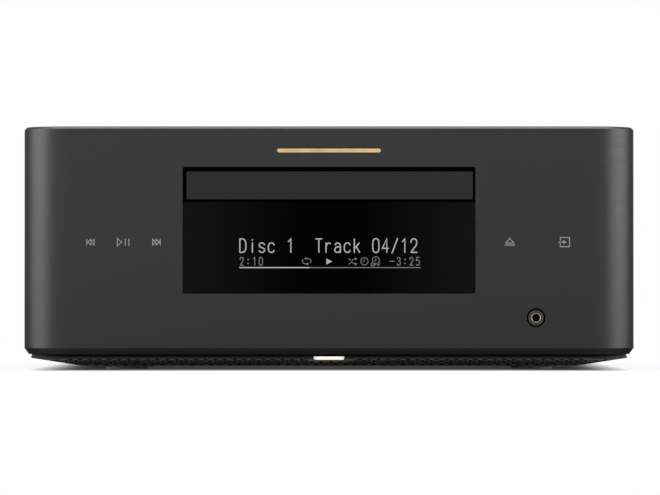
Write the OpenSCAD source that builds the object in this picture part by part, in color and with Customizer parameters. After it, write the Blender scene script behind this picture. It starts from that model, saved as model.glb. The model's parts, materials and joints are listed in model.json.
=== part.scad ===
// Compact disc receiver: a case wrapped round its front corners that floats on a perforated
// under-tray, with a motor-driven disc tray, a tilting pickup mechanism and the boards behind them.
// Frame: +Z up, front face towards -Y, origin on the floor under the middle of the bounding box.

/* [Case] */
// Width of the case
body_w = 280; // [274:1:300]
// Height from floor to top
body_h = 111; // [108:1:124]
// Depth of the case without the rear terminals
body_d = 282; // [276:1:310]
// Radius of the front vertical corners
corner_r = 22; // [14:1:24]
// Radius of the rear vertical corners
rear_corner_r = 4; // [3:0.5:6]
// Thickness of the front panel and cabinet walls
wall = 3; // [2.6:0.1:3.4]
// Size of the bevel along the top outer edge
top_bevel = 1.1; // [0.6:0.1:1.8]
// Height of the bevel along the lower edge
bevel_h = 2.8; // [1.5:0.1:4]
// Depth of that bevel
bevel_in = 2; // [1:0.1:2.4]
// Depth of the front panel with its side returns
front_wrap = 48; // [40:1:60]
// Gap between front panel and cabinet
seam = 0.4; // [0.3:0.05:0.8]
// Thickness of the glossy top plate
plate_t = 2.4; // [1.6:0.1:3]
// Gap round the top plate
plate_fit = 0.3; // [0.2:0.05:0.6]
// Thickness of the deck that carries the top plate
deck_t = 1.5; // [1.2:0.1:2]
// Thickness of the steel sheet of chassis, rear panel and brackets
sheet = 1.2; // [1:0.1:1.5]
// Width of the frame round the rear panel
rear_border = 10; // [9:0.5:12]

/* [Under-tray and feet] */
// Height of the feet
foot_h = 2; // [1.5:0.1:4]
// Radius of the feet
foot_r = 13; // [10:0.5:16]
// Distance of each foot centre from the case sides
foot_inset = 46; // [44:1:52]
// Height of the sloped part of the under-tray
pan_drop = 3.3; // [2.4:0.1:4.5]
// Height of the plain rim of the under-tray
pan_rim = 1.5; // [1:0.1:2.5]
// Shadow gap between the rim and the case
pan_gap = 0.3; // [0.2:0.05:0.6]
// Distance of the rim behind the case sides
pan_inset = 3.05; // [2.6:0.05:4]
// Length of the slope
pan_run = 23; // [18:0.5:26]
// Sheet thickness of the under-tray
pan_t = 1; // [0.8:0.1:1.2]
// Radius of the vent holes in the slope
vent_r = 2; // [1.5:0.1:2.3]
// Distance between vent holes
vent_pitch = 7.7; // [7:0.1:9]
// Width of the lit bar under the front edge
light_w = 14.2; // [10:0.1:20]
// Height of the visible face of the lit bar
light_h = 1.7; // [1.5:0.1:2.2]

/* [Front] */
// Width of the window opening
window_w = 133.5; // [133:0.5:138]
// Height of the window opening
window_h = 57.8; // [54:0.1:60]
// Distance from the top of the case to the opening
window_drop = 18.5; // [18:0.1:22]
// Corner radius of the opening
window_r = 1; // [0.5:0.1:2]
// Gap at each side of the tray door
door_gap_side = 1.5; // [1.2:0.05:1.8]
// Height of the tray door
door_h = 12.9; // [12.4:0.1:14]
// Thickness of the tray door
door_t = 3.5; // [2.5:0.1:4]
// How far the door lies behind the front face
door_set = 0.5; // [0.2:0.1:1]
// Gap above the door
door_gap_top = 2; // [1.2:0.1:2.4]
// Gap between the door and the display window
door_gap_low = 1.2; // [0.8:0.1:1.6]
// Sideways offset of the door in its opening
door_shift = 0.35; // [0:0.05:0.4]
// Fit of the display window in the opening
screen_fit = 0.15; // [0.1:0.05:0.4]
// How far the display window lies behind the front face
screen_set = 0.3; // [0.1:0.1:0.6]
// Thickness of the display holder
holder_t = 5; // [4:0.2:6]
// Width of the lit area of the display
display_w = 90; // [80:1:96]
// Height of the lit area of the display
display_h = 23; // [18:0.5:26]
// Distance of the headphone socket from the right side of the case
jack_in = 45.75; // [40:0.05:54]
// Height of the headphone socket
jack_z = 23.7; // [22:0.1:27]
// Radius of the headphone plug bore
jack_bore_r = 1.8; // [1.75:0.05:1.9]
// Radius of the hole in the front panel for the socket
jack_hole_r = 4.35; // [4.1:0.05:5]
// Width of the badge place above the window
badge_w = 47.6; // [30:0.1:60]
// Height of the badge
badge_h = 2.2; // [1.6:0.1:5.7]
// Distance of the badge below the top of the case
badge_drop = 11.1; // [8:0.1:13]

/* [Disc tray] */
// Width of the tray beside the disc well
disc_margin = 2.25; // [1.9:0.05:2.3]
// Distance of the disc centre behind the front face
disc_back = 70; // [69:0.5:74]
// How far the tray opens
tray_travel = 130; // [110:1:134]
// Length of the tray arms behind the disc well
tray_tail = 66; // [60:0.5:70]
// Thickness of the tray
tray_t = 5; // [4.6:0.1:5.4]
// Width of the slot for turntable and pickup
slot_w = 40; // [36:0.5:42]
// Clearance between sliding plastic pieces
slide_gap = 0.3; // [0.25:0.05:0.45]
// Radial clearance of wheels on their pins
pin_gap = 0.05; // [0.02:0.01:0.09]

/* [Pickup mechanism] */
// How far the traverse tilts down, in degrees
tilt_max = 5; // [3:0.5:5]
// How far the cam slider moves
cam_travel = 22; // [20:0.5:24]
// Travel of the pickup sled
sled_travel = 35; // [28:0.5:35]
// Radius of the turntable
turntable_r = 15; // [13:0.5:16]
// Radius of the sled rails
rail_r = 1.5; // [1.2:0.1:1.7]
// Radius of the focus lens holder
lens_r = 4; // [3:0.1:4.5]

/* [Rear] */
// How far the speaker caps stand out behind the case
post_reach = 21; // [19:0.5:24]
// Distance between speaker posts
post_pitch = 19; // [18:0.5:20]
// Radius of the speaker caps
cap_r = 7; // [6:0.1:7.4]
// Radius of the plug bore in each speaker post
plug_r = 2; // [1.9:0.05:2.1]
// Height of the speaker posts
post_z = 34; // [32:0.5:38]
// Height of the lower row of phono jacks
phono_z = 25; // [24:0.5:27]
// Distance between the two rows of phono jacks
phono_rise = 18; // [16:0.5:22]

/* [Hidden] */
$fn = 48;
half_w = body_w / 2;
front_y = -(body_d + post_reach) / 2;
rear_y = front_y + body_d;
base_z = foot_h + pan_drop + pan_rim + pan_gap;
plate_z = body_h - plate_t;
deck_z = plate_z - deck_t;
inner_w = half_w - wall;
fit = 0.4;
chassis_z = base_z + sheet;
panel_y = rear_y - wall;
panel_in_y = panel_y - sheet;
inner_y = front_y + wall;
wrap_y = front_y + front_wrap;

screw_r = 1.4;
screw_hole_r = 1.55;
screw_head_r = 2.75;
screw_head_h = 1.8;
rear_screw_x = half_w - rear_border + 3.6;
rear_screw_z = [24, 0.5 * (24 + deck_z - 12), deck_z - 12];
foot_xs = [-half_w + foot_inset, half_w - foot_inset];
foot_ys = [front_y + foot_inset, rear_y - foot_inset];

window_top = body_h - window_drop;
door_w = window_w - 2 * door_gap_side;
window_z = window_top - window_h;
door_top = window_top - door_gap_top;
door_z = door_top - door_h;
screen_top = door_z - door_gap_low;
door_y = front_y + door_set;
tray_y = door_y + door_t;
holder_y = inner_y + holder_t;
display_z = window_z + 20;
board_t = 1.6;
jack_x = half_w - jack_in;
jack_collar_r = jack_hole_r - 0.65;
jack_sleeve_r = jack_bore_r + 0.8;
jack_depth = 12.5;
badge_depth = 0.8;

tray_top = door_top - 4.5;
tray_z = tray_top - tray_t;
tray_half = window_w / 2 - 4.25;
disc_r = tray_half - disc_margin;
disc_y = front_y + disc_back;
tray_end = disc_y + disc_r + tray_tail;
runner_w = 2.5;
runner_h = 2.5;
well_z = tray_top - 2.6;
small_disc_r = 40.3;
small_well_z = well_z - 1;
rack_h = 3.5;
drive_m = 1;
drive_teeth = 30;
pinion_teeth = 18;
backlash = 0.12;
drive_r = drive_m * drive_teeth / 2;
pinion_r = drive_m * pinion_teeth / 2;
rack_x = -(tray_half - 6.5);
drive_x = rack_x + drive_r;
drive_y = front_y + disc_back - 39;
drive_phase = 180 / drive_teeth;
pinion_dir = -6;
pinion_x = drive_x + (drive_r + pinion_r) * cos(pinion_dir);
pinion_y = drive_y + (drive_r + pinion_r) * sin(pinion_dir);
pinion_phase = mesh_phase(pinion_dir, drive_phase, drive_teeth, pinion_teeth);
pin_r = 2;
pulley_r = 14;
motor_pulley_r = 3.5;
belt_t = 1;
motor_gap = 44;
motor_x = pinion_x + motor_gap;
motor_y = pinion_y;
motor_shaft_r = 1;

loader_wall = 5;
rail_x = tray_half + 0.5;
loader_half = rail_x + 6 + loader_wall;
loader_y = holder_y + 3.5;
loader_end = tray_end + 9;
loader_deck = tray_z - 16.5;
loader_deck_t = 2.5;
loader_z = loader_deck - loader_deck_t;
bridge_z = tray_top + 6;
bridge_t = 2;
bridge_half_y = 20;
rail_z = tray_z - 2.8;
rail_top = tray_top;

pivot_y = disc_y + 92;
pivot_z = tray_z - 8;
frame_z = tray_z - 10;
frame_t = 3;
frame_top = frame_z + frame_t;
frame_left = -38;
frame_right = 46;
frame_y = disc_y - 18;
pivot_r = 2;
ear_t = 6;
well_left = frame_left - 12;
well_right = frame_right + 10;
cam_y = disc_y - 23.5;
cam_t = 3;
cam_pin_r = 1.8;
cam_pin_z = frame_z + frame_t / 2;
cam_drop = (pivot_y - cam_y - cam_t / 2) * sin(tilt_max);
cam_gap = 0.35;
cam_left = -cam_travel - 8;
cam_right = 9;
cam_low = cam_pin_z - cam_drop - cam_pin_r - 4;
cam_high = cam_pin_z + cam_pin_r + 3;
well_y = cam_y - slide_gap;
well_end = pivot_y - 10;

disc_z = tray_top - 0.8;
spindle_r = 1;
spindle_motor_r = 12.5;
spindle_motor_h = 8;
hub_r = 7.4;
hub_top = disc_z + 2.5;
clamper_r = 13;
clamper_z = hub_top + 0.3;
guide_x = 20;
guide_z = frame_top + 2.5;
guide_y0 = disc_y - 6;
guide_y1 = disc_y + 80;
guide_block = 4;
lens_y = disc_y + 24;
sled_y0 = lens_y - 10;
sled_y1 = lens_y + 14;
sled_z0 = frame_z - 5;
sled_z1 = frame_top + 5;
lens_top = disc_z - 1.6;
sled_m = 0.5;
sled_teeth = 24;
sled_pinion_teeth = 18;
sled_backlash = 0.1;
sled_r = sled_m * sled_teeth / 2;
sled_pinion_r = sled_m * sled_pinion_teeth / 2;
sled_rack_x = 27;
sled_gear_x = sled_rack_x + sled_r;
sled_gear_y = disc_y + 52;
sled_phase = 180 / sled_teeth;
sled_pinion_dir = -60;
sled_pinion_x = sled_gear_x + (sled_r + sled_pinion_r) * cos(sled_pinion_dir);
sled_pinion_y = sled_gear_y + (sled_r + sled_pinion_r) * sin(sled_pinion_dir);
sled_pinion_phase = mesh_phase(sled_pinion_dir, sled_phase, sled_teeth, sled_pinion_teeth);
sled_gear_z = frame_top + 1.2;
sled_gear_h = 3;
sled_pin_r = 1.2;
sled_motor_r = 7.5;
sled_motor_h = 11;

bracket_x = loader_half + 10;
bracket_y0 = loader_y + 28;
bracket_y1 = loader_end - 14;
ear_ys = [loader_y + 40, loader_end - 26];
ear_x = loader_half + 4.5;

standoff_h = 6.7;
standoff_r = 3;
board_z = chassis_z + standoff_h;
board_top = board_z + board_t;
main_half = bracket_x - 6;
main_y0 = front_y + 76;
main_y1 = panel_in_y - 1;
main_hole_x = main_half - 6;
main_hole_ys = [main_y0 + 8, 0.5 * (main_y0 + main_y1) - 10, main_y1 - 26];
power_x0 = -inner_w + 4;
power_x1 = -bracket_x - 15;
power_y0 = front_y + 80;
power_y1 = panel_in_y - 30;
power_mid = 0.5 * (power_x0 + power_x1);
power_hole_xs = [power_x0 + 5, power_x1 - 5];
power_hole_ys = [power_y0 + 6, power_y1 - 6];
sink_x0 = bracket_x + 15;
sink_x1 = inner_w - 5;
sink_y0 = front_y + 100;
sink_y1 = front_y + 220;
sink_fins = 9;
sink_fin_t = 1.6;

post_xs = [for (i = [0:3]) half_w - 23.5 - (3 - i) * post_pitch];
base_x0 = post_xs[0] - 10.5;
base_x1 = post_xs[3] + 10.5;
stud_r = 3;
stud_hole_r = stud_r + 0.4;
stud_end = rear_y + post_reach - 1.5;
stud_in = 8;
plug_depth = 15;
inlet_x = -half_w + 28;
inlet_w = 31;
row_x = inlet_x + inlet_w / 2;
row_step = (base_x0 - row_x) / 291;
data_x = row_x + 53 * row_step;
net_x = row_x + 95 * row_step;
optic_xs = [row_x + 133 * row_step, row_x + 159 * row_step];
phono_xs = [for (k = [197, 233, 269]) row_x + k * row_step];
cap_y = rear_y + 1;
cap_end = rear_y + post_reach;
phono_shell_r = 4.15;
phono_seat_r = phono_shell_r + 1.1;
phono_out = 9.5;
optic_w = 10;
optic_z = board_top + 6;
optic_top = optic_z + 5;
net_w = 16;
net_h = 13.5;
data_w = 14.4;
data_h = 7;
inlet_z = 30;
inlet_h = 24;
aerial_xs = [-half_w + 24, half_w - 24];
aerial_z = deck_z - 16;
aerial_r = 3.1;
tuner_x = phono_xs[2];
tuner_z = deck_z - 26;
tuner_r = 4.75;
slot_xs = [for (i = [0:13]) -96 + i * 8];
slot_z = deck_z - 38;
slot_h = 24;

// Turn of a wheel that meshes with a first wheel lying in direction dir from it
function mesh_phase(dir, first_phase, first_teeth, teeth) =
    let (steps = (dir - first_phase) * first_teeth / 360, part = steps - floor(steps))
    dir + 180 - (0.5 - part) * 360 / teeth;

function inv_deg(a) = tan(a) * 180 / PI - a;

// Half the angle of an involute tooth at radius r, from its thickness at the pitch radius
function half_tooth(r, rp, rb, thick) =
    thick / (2 * rp) * 180 / PI + inv_deg(20) - inv_deg(acos(min(1, rb / r)));

function polar(r, a) = [r * cos(a), r * sin(a)];

function gear_points(m, teeth, loss) =
    let (rp = m * teeth / 2, rb = rp * cos(20), ra = rp + m, rd = rp - 1.25 * m,
        thick = PI * m / 2 - loss,
        radii = [for (i = [0:4]) max(rb, rd) + (ra - max(rb, rd)) * i / 4])
    [for (t = [0:teeth - 1]) let (c = 360 * t / teeth)
        each concat(
            [polar(rd, c - half_tooth(rb, rp, rb, thick))],
            [for (r = radii) polar(r, c - half_tooth(r, rp, rb, thick))],
            [for (i = [4:-1:0]) polar(radii[i], c + half_tooth(radii[i], rp, rb, thick))],
            [polar(rd, c + half_tooth(rb, rp, rb, thick))])];

module gear(m, teeth, loss, h) {
    linear_extrude(h) polygon(gear_points(m, teeth, loss));
}

// Rack along Y with its pitch line at x = 0, teeth towards +X, one tooth centred on y = 0
module rack(m, first, last, loss, back, h) {
    half = (PI * m / 2 - loss) / 2;
    tip = half - m * tan(20);
    root = half + 1.25 * m * tan(20);
    linear_extrude(h) {
        translate([-back, (first - 0.5) * PI * m])
            square([back - 1.25 * m, (last - first + 1) * PI * m]);
        for (i = [first:last])
            translate([0, i * PI * m])
                polygon([[-1.25 * m - 0.1, -root], [m, -tip], [m, tip], [-1.25 * m - 0.1, root]]);
    }
}

module block(lo, hi) {
    translate(lo) cube(hi - lo);
}

module slab(z0, z1) {
    translate([0, 0, z0]) linear_extrude(z1 - z0) children();
}

// Flat outline in X and Z, made solid between two depths
module facing(y0, y1) {
    translate([0, y1, 0]) rotate([90, 0, 0]) linear_extrude(y1 - y0) children();
}

// Flat outline in Y and Z, made solid between two sideways places
module sideways(x0, x1) {
    translate([x0, 0, 0]) rotate([90, 0, 90]) linear_extrude(x1 - x0) children();
}

module rod_y(x, z, r, y0, y1) {
    translate([x, y1, z]) rotate([90, 0, 0]) cylinder(r = r, h = y1 - y0);
}

module rod_x(y, z, r, x0, x1) {
    translate([x0, y, z]) rotate([0, 90, 0]) cylinder(r = r, h = x1 - x0);
}

module rod_z(x, y, r, z0, z1) {
    translate([x, y, z0]) cylinder(r = r, h = z1 - z0);
}

module round_rect(w, h, r) {
    translate([-w / 2 + r, -h / 2]) square([w - 2 * r, h]);
    translate([-w / 2, -h / 2 + r]) square([w, h - 2 * r]);
    for (x = [-1, 1], y = [-1, 1])
        translate([x * (w / 2 - r), y * (h / 2 - r)]) circle(r);
}

// Outline of the case seen from above, set in from its sides
module plan(inset) {
    hx = half_w - inset;
    y0 = front_y + inset;
    y1 = rear_y - inset;
    rf = max(corner_r - inset, 2);
    rr = max(rear_corner_r - inset, 0.6);
    translate([-hx, y0 + rf]) square([2 * hx, y1 - rr - y0 - rf]);
    translate([-hx + rf, y0]) square([2 * (hx - rf), rf + 1]);
    translate([-hx + rr, y1 - rr - 1]) square([2 * (hx - rr), rr + 1]);
    for (s = [-1, 1]) {
        translate([s * (hx - rf), y0 + rf]) circle(rf);
        translate([s * (hx - rr), y1 - rr]) circle(rr);
    }
}

// Profile in outward distance and height, carried once round the case
module edge_sweep() {
    rf = corner_r;
    rr = rear_corner_r;
    side = body_d - rf - rr;
    translate([half_w, rear_y - rr, 0]) rotate([90, 0, 0]) linear_extrude(side) children();
    translate([-half_w + rr, rear_y, 0]) rotate([90, 0, 90])
        linear_extrude(body_w - 2 * rr) children();
    translate([-half_w, front_y + rf, 0]) rotate([90, 0, 180]) linear_extrude(side) children();
    translate([half_w - rf, front_y, 0]) rotate([90, 0, 270])
        linear_extrude(body_w - 2 * rf) children();
    edge_corner(half_w - rr, rear_y - rr, rr, 0) children();
    edge_corner(-half_w + rr, rear_y - rr, rr, 90) children();
    edge_corner(-half_w + rf, front_y + rf, rf, 180) children();
    edge_corner(half_w - rf, front_y + rf, rf, 270) children();
}

module edge_corner(x, y, r, a) {
    translate([x, y, 0]) rotate([0, 0, a])
        rotate_extrude(angle = 90) translate([r, 0]) children();
}

module case_solid() {
    difference() {
        slab(base_z, body_h) plan(0);
        edge_sweep()
            polygon([[-bevel_in, base_z], [0, base_z + bevel_h], [1, base_z + bevel_h],
                [1, base_z - 1], [-bevel_in, base_z - 1]]);
        edge_sweep()
            polygon([[0, body_h - top_bevel], [-top_bevel, body_h], [-top_bevel, body_h + 1],
                [1, body_h + 1], [1, body_h - top_bevel]]);
    }
}

// Screw along +Z with its head on top and the underside of the head at z = 0
module screw(len) {
    difference() {
        union() {
            cylinder(r = screw_head_r, h = screw_head_h);
            translate([0, 0, -len]) cylinder(r = screw_r, h = len + 0.5);
        }
        for (a = [0, 90])
            rotate([0, 0, a]) translate([-1.7, -0.4, screw_head_h - 1]) cube([3.4, 0.8, 2]);
    }
}

module front_panel() {
    color("#3b3b3c") difference() {
        case_solid();
        block([-half_w - 5, wrap_y - seam, base_z - 5], [half_w + 5, rear_y + 5, body_h + 5]);
        slab(base_z - 1, body_h + 1) plan(wall);
        facing(front_y - 1, inner_y + 1)
            translate([0, window_z + window_h / 2]) round_rect(window_w, window_h, window_r);
        rod_y(jack_x, jack_z, jack_hole_r, front_y - 1, inner_y + 1);
        facing(front_y - 1, front_y + badge_depth)
            translate([0, body_h - badge_drop])
                square([badge_w + 0.2, badge_h + 0.2], center = true);
    }
}

module cabinet() {
    color("#333334") difference() {
        union() {
            difference() {
                case_solid();
                block([-half_w - 5, front_y - 5, base_z - 5], [half_w + 5, wrap_y, body_h + 5]);
                slab(base_z - 1, body_h + 1) plan(wall);
            }
            slab(deck_z, plate_z) intersection() {
                plan(wall + fit);
                translate([-half_w, front_y]) square([body_w, front_wrap + 1]);
            }
            slab(deck_z, plate_z) intersection() {
                plan(wall - 1);
                translate([-half_w, wrap_y]) square([body_w, body_d]);
            }
        }
        block([-half_w + rear_border, panel_y - 1, base_z + 4],
            [half_w - rear_border, rear_y + 1, deck_z - 4]);
        for (s = [-1, 1], z = rear_screw_z)
            rod_y(s * rear_screw_x, z, screw_hole_r, panel_y - 1, rear_y + 1);
    }
}

module top_plate() {
    color("#0b0b0c") slab(plate_z, body_h) plan(wall + plate_fit);
}

module rear_panel() {
    w = inner_w - fit;
    color("#2a2a2b") difference() {
        union() {
            block([-w, panel_in_y, chassis_z], [w, panel_y - 0.8, deck_z - 0.2]);
            block([0.8 - w, panel_in_y, chassis_z], [w - 0.8, panel_y, deck_z - 0.2]);
        }
        for (s = [-1, 1], z = rear_screw_z)
            rod_y(s * rear_screw_x, z, screw_hole_r, panel_in_y - 1, panel_y + 1);
        for (x = post_xs)
            rod_y(x, post_z, stud_hole_r, panel_in_y - 1, panel_y + 1);
        for (x = phono_xs, i = [0, 1])
            rod_y(x, phono_z + i * phono_rise, phono_seat_r + 0.25, panel_in_y - 1, panel_y + 1);
        for (x = optic_xs)
            panel_cut(x, (board_top + optic_top) / 2, optic_w + 0.4, optic_top - board_top + 0.4);
        panel_cut(net_x, board_top + net_h / 2, net_w + 0.4, net_h + 0.4);
        panel_cut(data_x, board_top + data_h / 2, data_w + 0.4, data_h + 0.4);
        panel_cut(inlet_x, inlet_z, inlet_w - 3.2, inlet_h - 3.2);
        for (x = aerial_xs)
            rod_y(x, aerial_z, aerial_r + 0.3, panel_in_y - 1, panel_y + 1);
        rod_y(tuner_x, tuner_z, tuner_r + 0.3, panel_in_y - 1, panel_y + 1);
        for (x = slot_xs)
            facing(panel_in_y - 1, panel_y + 1)
                translate([x, slot_z + slot_h / 2]) round_rect(3.4, slot_h, 1.6);
    }
}

module panel_cut(x, z, w, h) {
    block([x - w / 2, panel_in_y - 1, z - h / 2], [x + w / 2, panel_y + 1, z + h / 2]);
}

module chassis() {
    w = inner_w - fit;
    color("#8d9092") difference() {
        union() {
            slab(base_z, chassis_z) plan(wall + fit);
            for (s = [0, 1])
                mirror([s, 0, 0])
                    block([w - sheet, wrap_y, base_z + 0.1],
                        [w, panel_in_y - 2, chassis_z + 12]);
        }
        for (x = foot_xs, y = foot_ys)
            rod_z(x, y, screw_hole_r, base_z - 1, chassis_z + 1);
        for (s = [-1, 1], i = [-4:4])
            slab(base_z - 1, chassis_z + 1)
                translate([s * 52, front_y + body_d * 0.46 + i * 12]) round_rect(44, 4, 1.9);
    }
}

// Tapered dish, its outer face dropped by t and set in by t for the inner one
module dish(t) {
    low_r = 6;
    edge = pan_inset + pan_run + low_r;
    rim_z = base_z - pan_gap - pan_rim;
    hull() {
        slab(rim_z + t, rim_z + t + 0.01) plan(pan_inset + t);
        for (s = [-1, 1], y = [front_y + edge, rear_y - edge])
            rod_z(s * (half_w - edge), y, low_r - t, foot_h + t, foot_h + t + 0.01);
    }
}

module under_tray() {
    pan_top = base_z - pan_gap;
    front = front_y + pan_inset;
    rows = floor((pan_run - 5) / (vent_pitch * 0.8));
    across = floor((half_w - pan_inset - pan_run - 6) / vent_pitch);
    color("#2e2f30") difference() {
        union() {
            difference() {
                union() {
                    dish(0);
                    slab(pan_top - pan_rim, pan_top) plan(pan_inset);
                }
                dish(pan_t);
                slab(pan_top - pan_rim + pan_t, pan_top + 1) plan(pan_inset + pan_t);
            }
            for (x = foot_xs, y = foot_ys)
                rod_z(x, y, foot_r - 4, foot_h + pan_t / 2, base_z);
        }
        for (x = foot_xs, y = foot_ys)
            rod_z(x, y, screw_hole_r, foot_h - 1, base_z + 1);
        for (r = [0:rows - 1], i = [-across:across - r % 2])
            rod_z((i + (r % 2) / 2) * vent_pitch, front + 6 + r * vent_pitch * 0.8, vent_r,
                foot_h - 1, pan_top + 1);
        block([-light_w / 2 - 0.2, front - 1, foot_h - 1],
            [light_w / 2 + 0.2, front + 6.4, pan_top + 1]);
    }
}

module feet() {
    color("#1a1a1a") for (x = foot_xs, y = foot_ys)
        difference() {
            rod_z(x, y, foot_r, 0, foot_h);
            rod_z(x, y, screw_head_r + 0.8, -1, foot_h + 1);
        }
}

module display_window() {
    w = window_w - 2 * screen_fit;
    h = screen_top - window_z - screen_fit;
    color("#050505") facing(front_y + screen_set, inner_y)
        translate([0, screen_top - h / 2]) round_rect(w, h, window_r);
}

module display_holder() {
    door_half = door_w / 2 + abs(door_shift) + 0.5;
    color("#121212") difference() {
        block([-window_w / 2 - 6, inner_y, window_z - 5], [window_w / 2 + 6, holder_y, window_top + 4]);
        block([-door_half, inner_y - 1, door_z - 0.6], [door_half, holder_y + 1, door_top + 0.6]);
        block([-display_w / 2 - 0.4, inner_y - 1, display_z - display_h / 2 - 0.4],
            [display_w / 2 + 0.4, holder_y + 1, display_z + display_h / 2 + 0.4]);
    }
}

module display_module() {
    color("#1c3524") union() {
        block([-display_w / 2, inner_y + 0.4, display_z - display_h / 2],
            [display_w / 2, holder_y + 0.1, display_z + display_h / 2]);
        block([-display_w / 2 - 12, holder_y, display_z - display_h / 2 - 6],
            [display_w / 2 + 12, holder_y + board_t, display_z + display_h / 2 + 5]);
    }
}

module touch_board(x0, x1) {
    z = window_z + 23.3;
    color("#1d4a2e") block([x0, inner_y, z - 8], [x1, inner_y + board_t, z + 8]);
}

module touch_board_left() {
    touch_board(-half_w + corner_r + 1, -window_w / 2 - 7);
}

module touch_board_right() {
    touch_board(window_w / 2 + 7, half_w - corner_r - 1);
}

module headphone_jack() {
    color("#151515") difference() {
        union() {
            block([jack_x - 6, inner_y, jack_z - 6], [jack_x + 6, inner_y + 15, jack_z + 6]);
            rod_y(jack_x, jack_z, jack_collar_r, front_y + 0.9, inner_y + 0.5);
        }
        rod_y(jack_x, jack_z, jack_sleeve_r + 0.03, front_y - 1, front_y + jack_depth);
    }
}

module jack_sleeve() {
    color("#c9c9c6") difference() {
        rod_y(jack_x, jack_z, jack_sleeve_r, front_y + 0.6, front_y + jack_depth);
        rod_y(jack_x, jack_z, jack_bore_r, front_y - 1, front_y + jack_depth + 1);
    }
}

module badge_bar() {
    color("#b79b5b") facing(front_y, front_y + badge_depth)
        translate([0, body_h - badge_drop]) square([badge_w, badge_h], center = true);
}

module light_bar() {
    y0 = front_y + pan_inset - 0.4;
    top = base_z - pan_gap - 0.7;
    color("#fff6e8") union() {
        facing(y0, y0 + 6)
            translate([0, top - light_h / 2]) round_rect(light_w, light_h, 0.7);
        block([-light_w / 2 + 2, y0 + 2, top - 0.8], [light_w / 2 - 2, y0 + 6, base_z]);
    }
}

module feet_screws() {
    for (x = foot_xs, y = foot_ys)
        translate([x, y, foot_h]) rotate([180, 0, 0]) screw(chassis_z - foot_h - 0.2);
}

module case_screws() {
    color("#262626") {
        for (s = [-1, 1], z = rear_screw_z)
            translate([s * rear_screw_x, rear_y, z]) rotate([-90, 0, 0]) screw(wall + sheet + 1.5);
        feet_screws();
    }
}

module loader_chassis() {
    d = slide_gap;
    color("#242426") difference() {
        union() {
            block([-loader_half, loader_y, loader_z], [loader_half, loader_end, loader_deck]);
            for (s = [0, 1])
                mirror([s, 0, 0]) {
                    block([loader_half - loader_wall, loader_y, loader_z],
                        [loader_half, loader_end, bridge_z]);
                    block([rail_x, loader_y, rail_z], [loader_half - 1, loader_end - 4, rail_top]);
                    for (y = ear_ys)
                        block([loader_half - 1, y - 6, loader_z],
                            [loader_half + 9, y + 6, loader_deck]);
                }
            block([-loader_half + 1, loader_end - 3, loader_z],
                [loader_half - 1, loader_end, rail_z - 2]);
            rod_z(drive_x, drive_y, pin_r, loader_deck - 1, tray_z - 0.7);
            rod_z(pinion_x, pinion_y, pin_r, loader_deck - 1, tray_z - 3.2);
            for (x = [frame_left - 1 - ear_t, frame_right + 1])
                difference() {
                    block([x, pivot_y - 5, loader_deck - 1], [x + ear_t, pivot_y + 5, pivot_z + 5]);
                    rod_x(pivot_y, pivot_z, pivot_r + pin_gap, x - 1, x + ear_t + 1);
                }
        }
        block([well_left, well_y, loader_z - 1], [well_right, well_end, loader_deck + 1]);
        for (s = [0, 1])
            mirror([s, 0, 0]) {
                block([rail_x - 1, loader_y - 1, tray_z - d],
                    [tray_half + runner_w + d, loader_end - 3.5, tray_z + runner_h + d]);
                for (y = ear_ys)
                    rod_z(ear_x, y, screw_hole_r, loader_z - 1, loader_deck + 1);
                for (y = [-14, 14])
                    rod_z(loader_half - 2.5, disc_y + y, screw_hole_r, bridge_z - 8, bridge_z + 1);
            }
        rod_z(motor_x, motor_y, 4, loader_z - 1, loader_deck + 1);
    }
}

module loading_motor() {
    color("#b9bbbd") difference() {
        union() {
            rod_z(motor_x, motor_y, 10, loader_z - 16, loader_z);
            rod_z(motor_x, motor_y, 3, loader_z - 1, loader_deck + 1);
        }
        rod_z(motor_x, motor_y, motor_shaft_r + pin_gap, loader_z - 12, loader_deck + 2);
    }
}

module motor_pulley() {
    z0 = tray_z - 14;
    color("#c8b46a") difference() {
        union() {
            rod_z(motor_x, motor_y, motor_shaft_r, loader_z - 11, z0 + 1);
            rod_z(motor_x, motor_y, motor_pulley_r + 1.2, z0, z0 + 5);
        }
        belt_groove(motor_x, motor_y, motor_pulley_r - belt_t / 2 - 0.1, motor_pulley_r + 2, z0 + 1.4);
    }
}

module belt_groove(x, y, r0, r1, z) {
    translate([x, y, z]) difference() {
        cylinder(r = r1, h = 2.2);
        translate([0, 0, -1]) cylinder(r = r0, h = 4.2);
    }
}

module pulley_gear() {
    z0 = tray_z - 14;
    color("#dcdcd6") difference() {
        union() {
            rod_z(pinion_x, pinion_y, pulley_r + 1.2, z0, z0 + 5);
            translate([pinion_x, pinion_y, z0 + 4.9]) rotate([0, 0, pinion_phase])
                gear(drive_m, pinion_teeth, backlash, 5.1);
        }
        belt_groove(pinion_x, pinion_y, pulley_r - belt_t / 2 - 0.1, pulley_r + 2, z0 + 1.4);
        rod_z(pinion_x, pinion_y, pin_r + pin_gap, z0 - 1, tray_z);
    }
}

module drive_gear() {
    color("#e6e4dc") difference() {
        union() {
            translate([drive_x, drive_y, tray_z - 7.5]) rotate([0, 0, drive_phase])
                gear(drive_m, drive_teeth, backlash, 6.8);
            rod_z(drive_x, drive_y, 4, loader_deck + 0.3, tray_z - 7);
        }
        rod_z(drive_x, drive_y, pin_r + pin_gap, loader_deck - 1, tray_z);
        for (i = [0:5])
            rotate_about(drive_x, drive_y, i * 60)
                rod_z(drive_x + 8, drive_y, 2.4, tray_z - 9, tray_z);
    }
}

module rotate_about(x, y, a) {
    translate([x, y, 0]) rotate([0, 0, a]) translate([-x, -y, 0]) children();
}

module drive_belt() {
    z = tray_z - 14 + 1.4 + 0.2;
    color("#101010") translate([0, 0, z]) linear_extrude(1.8) difference() {
        belt_loop(belt_t / 2);
        belt_loop(-belt_t / 2);
    }
}

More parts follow.
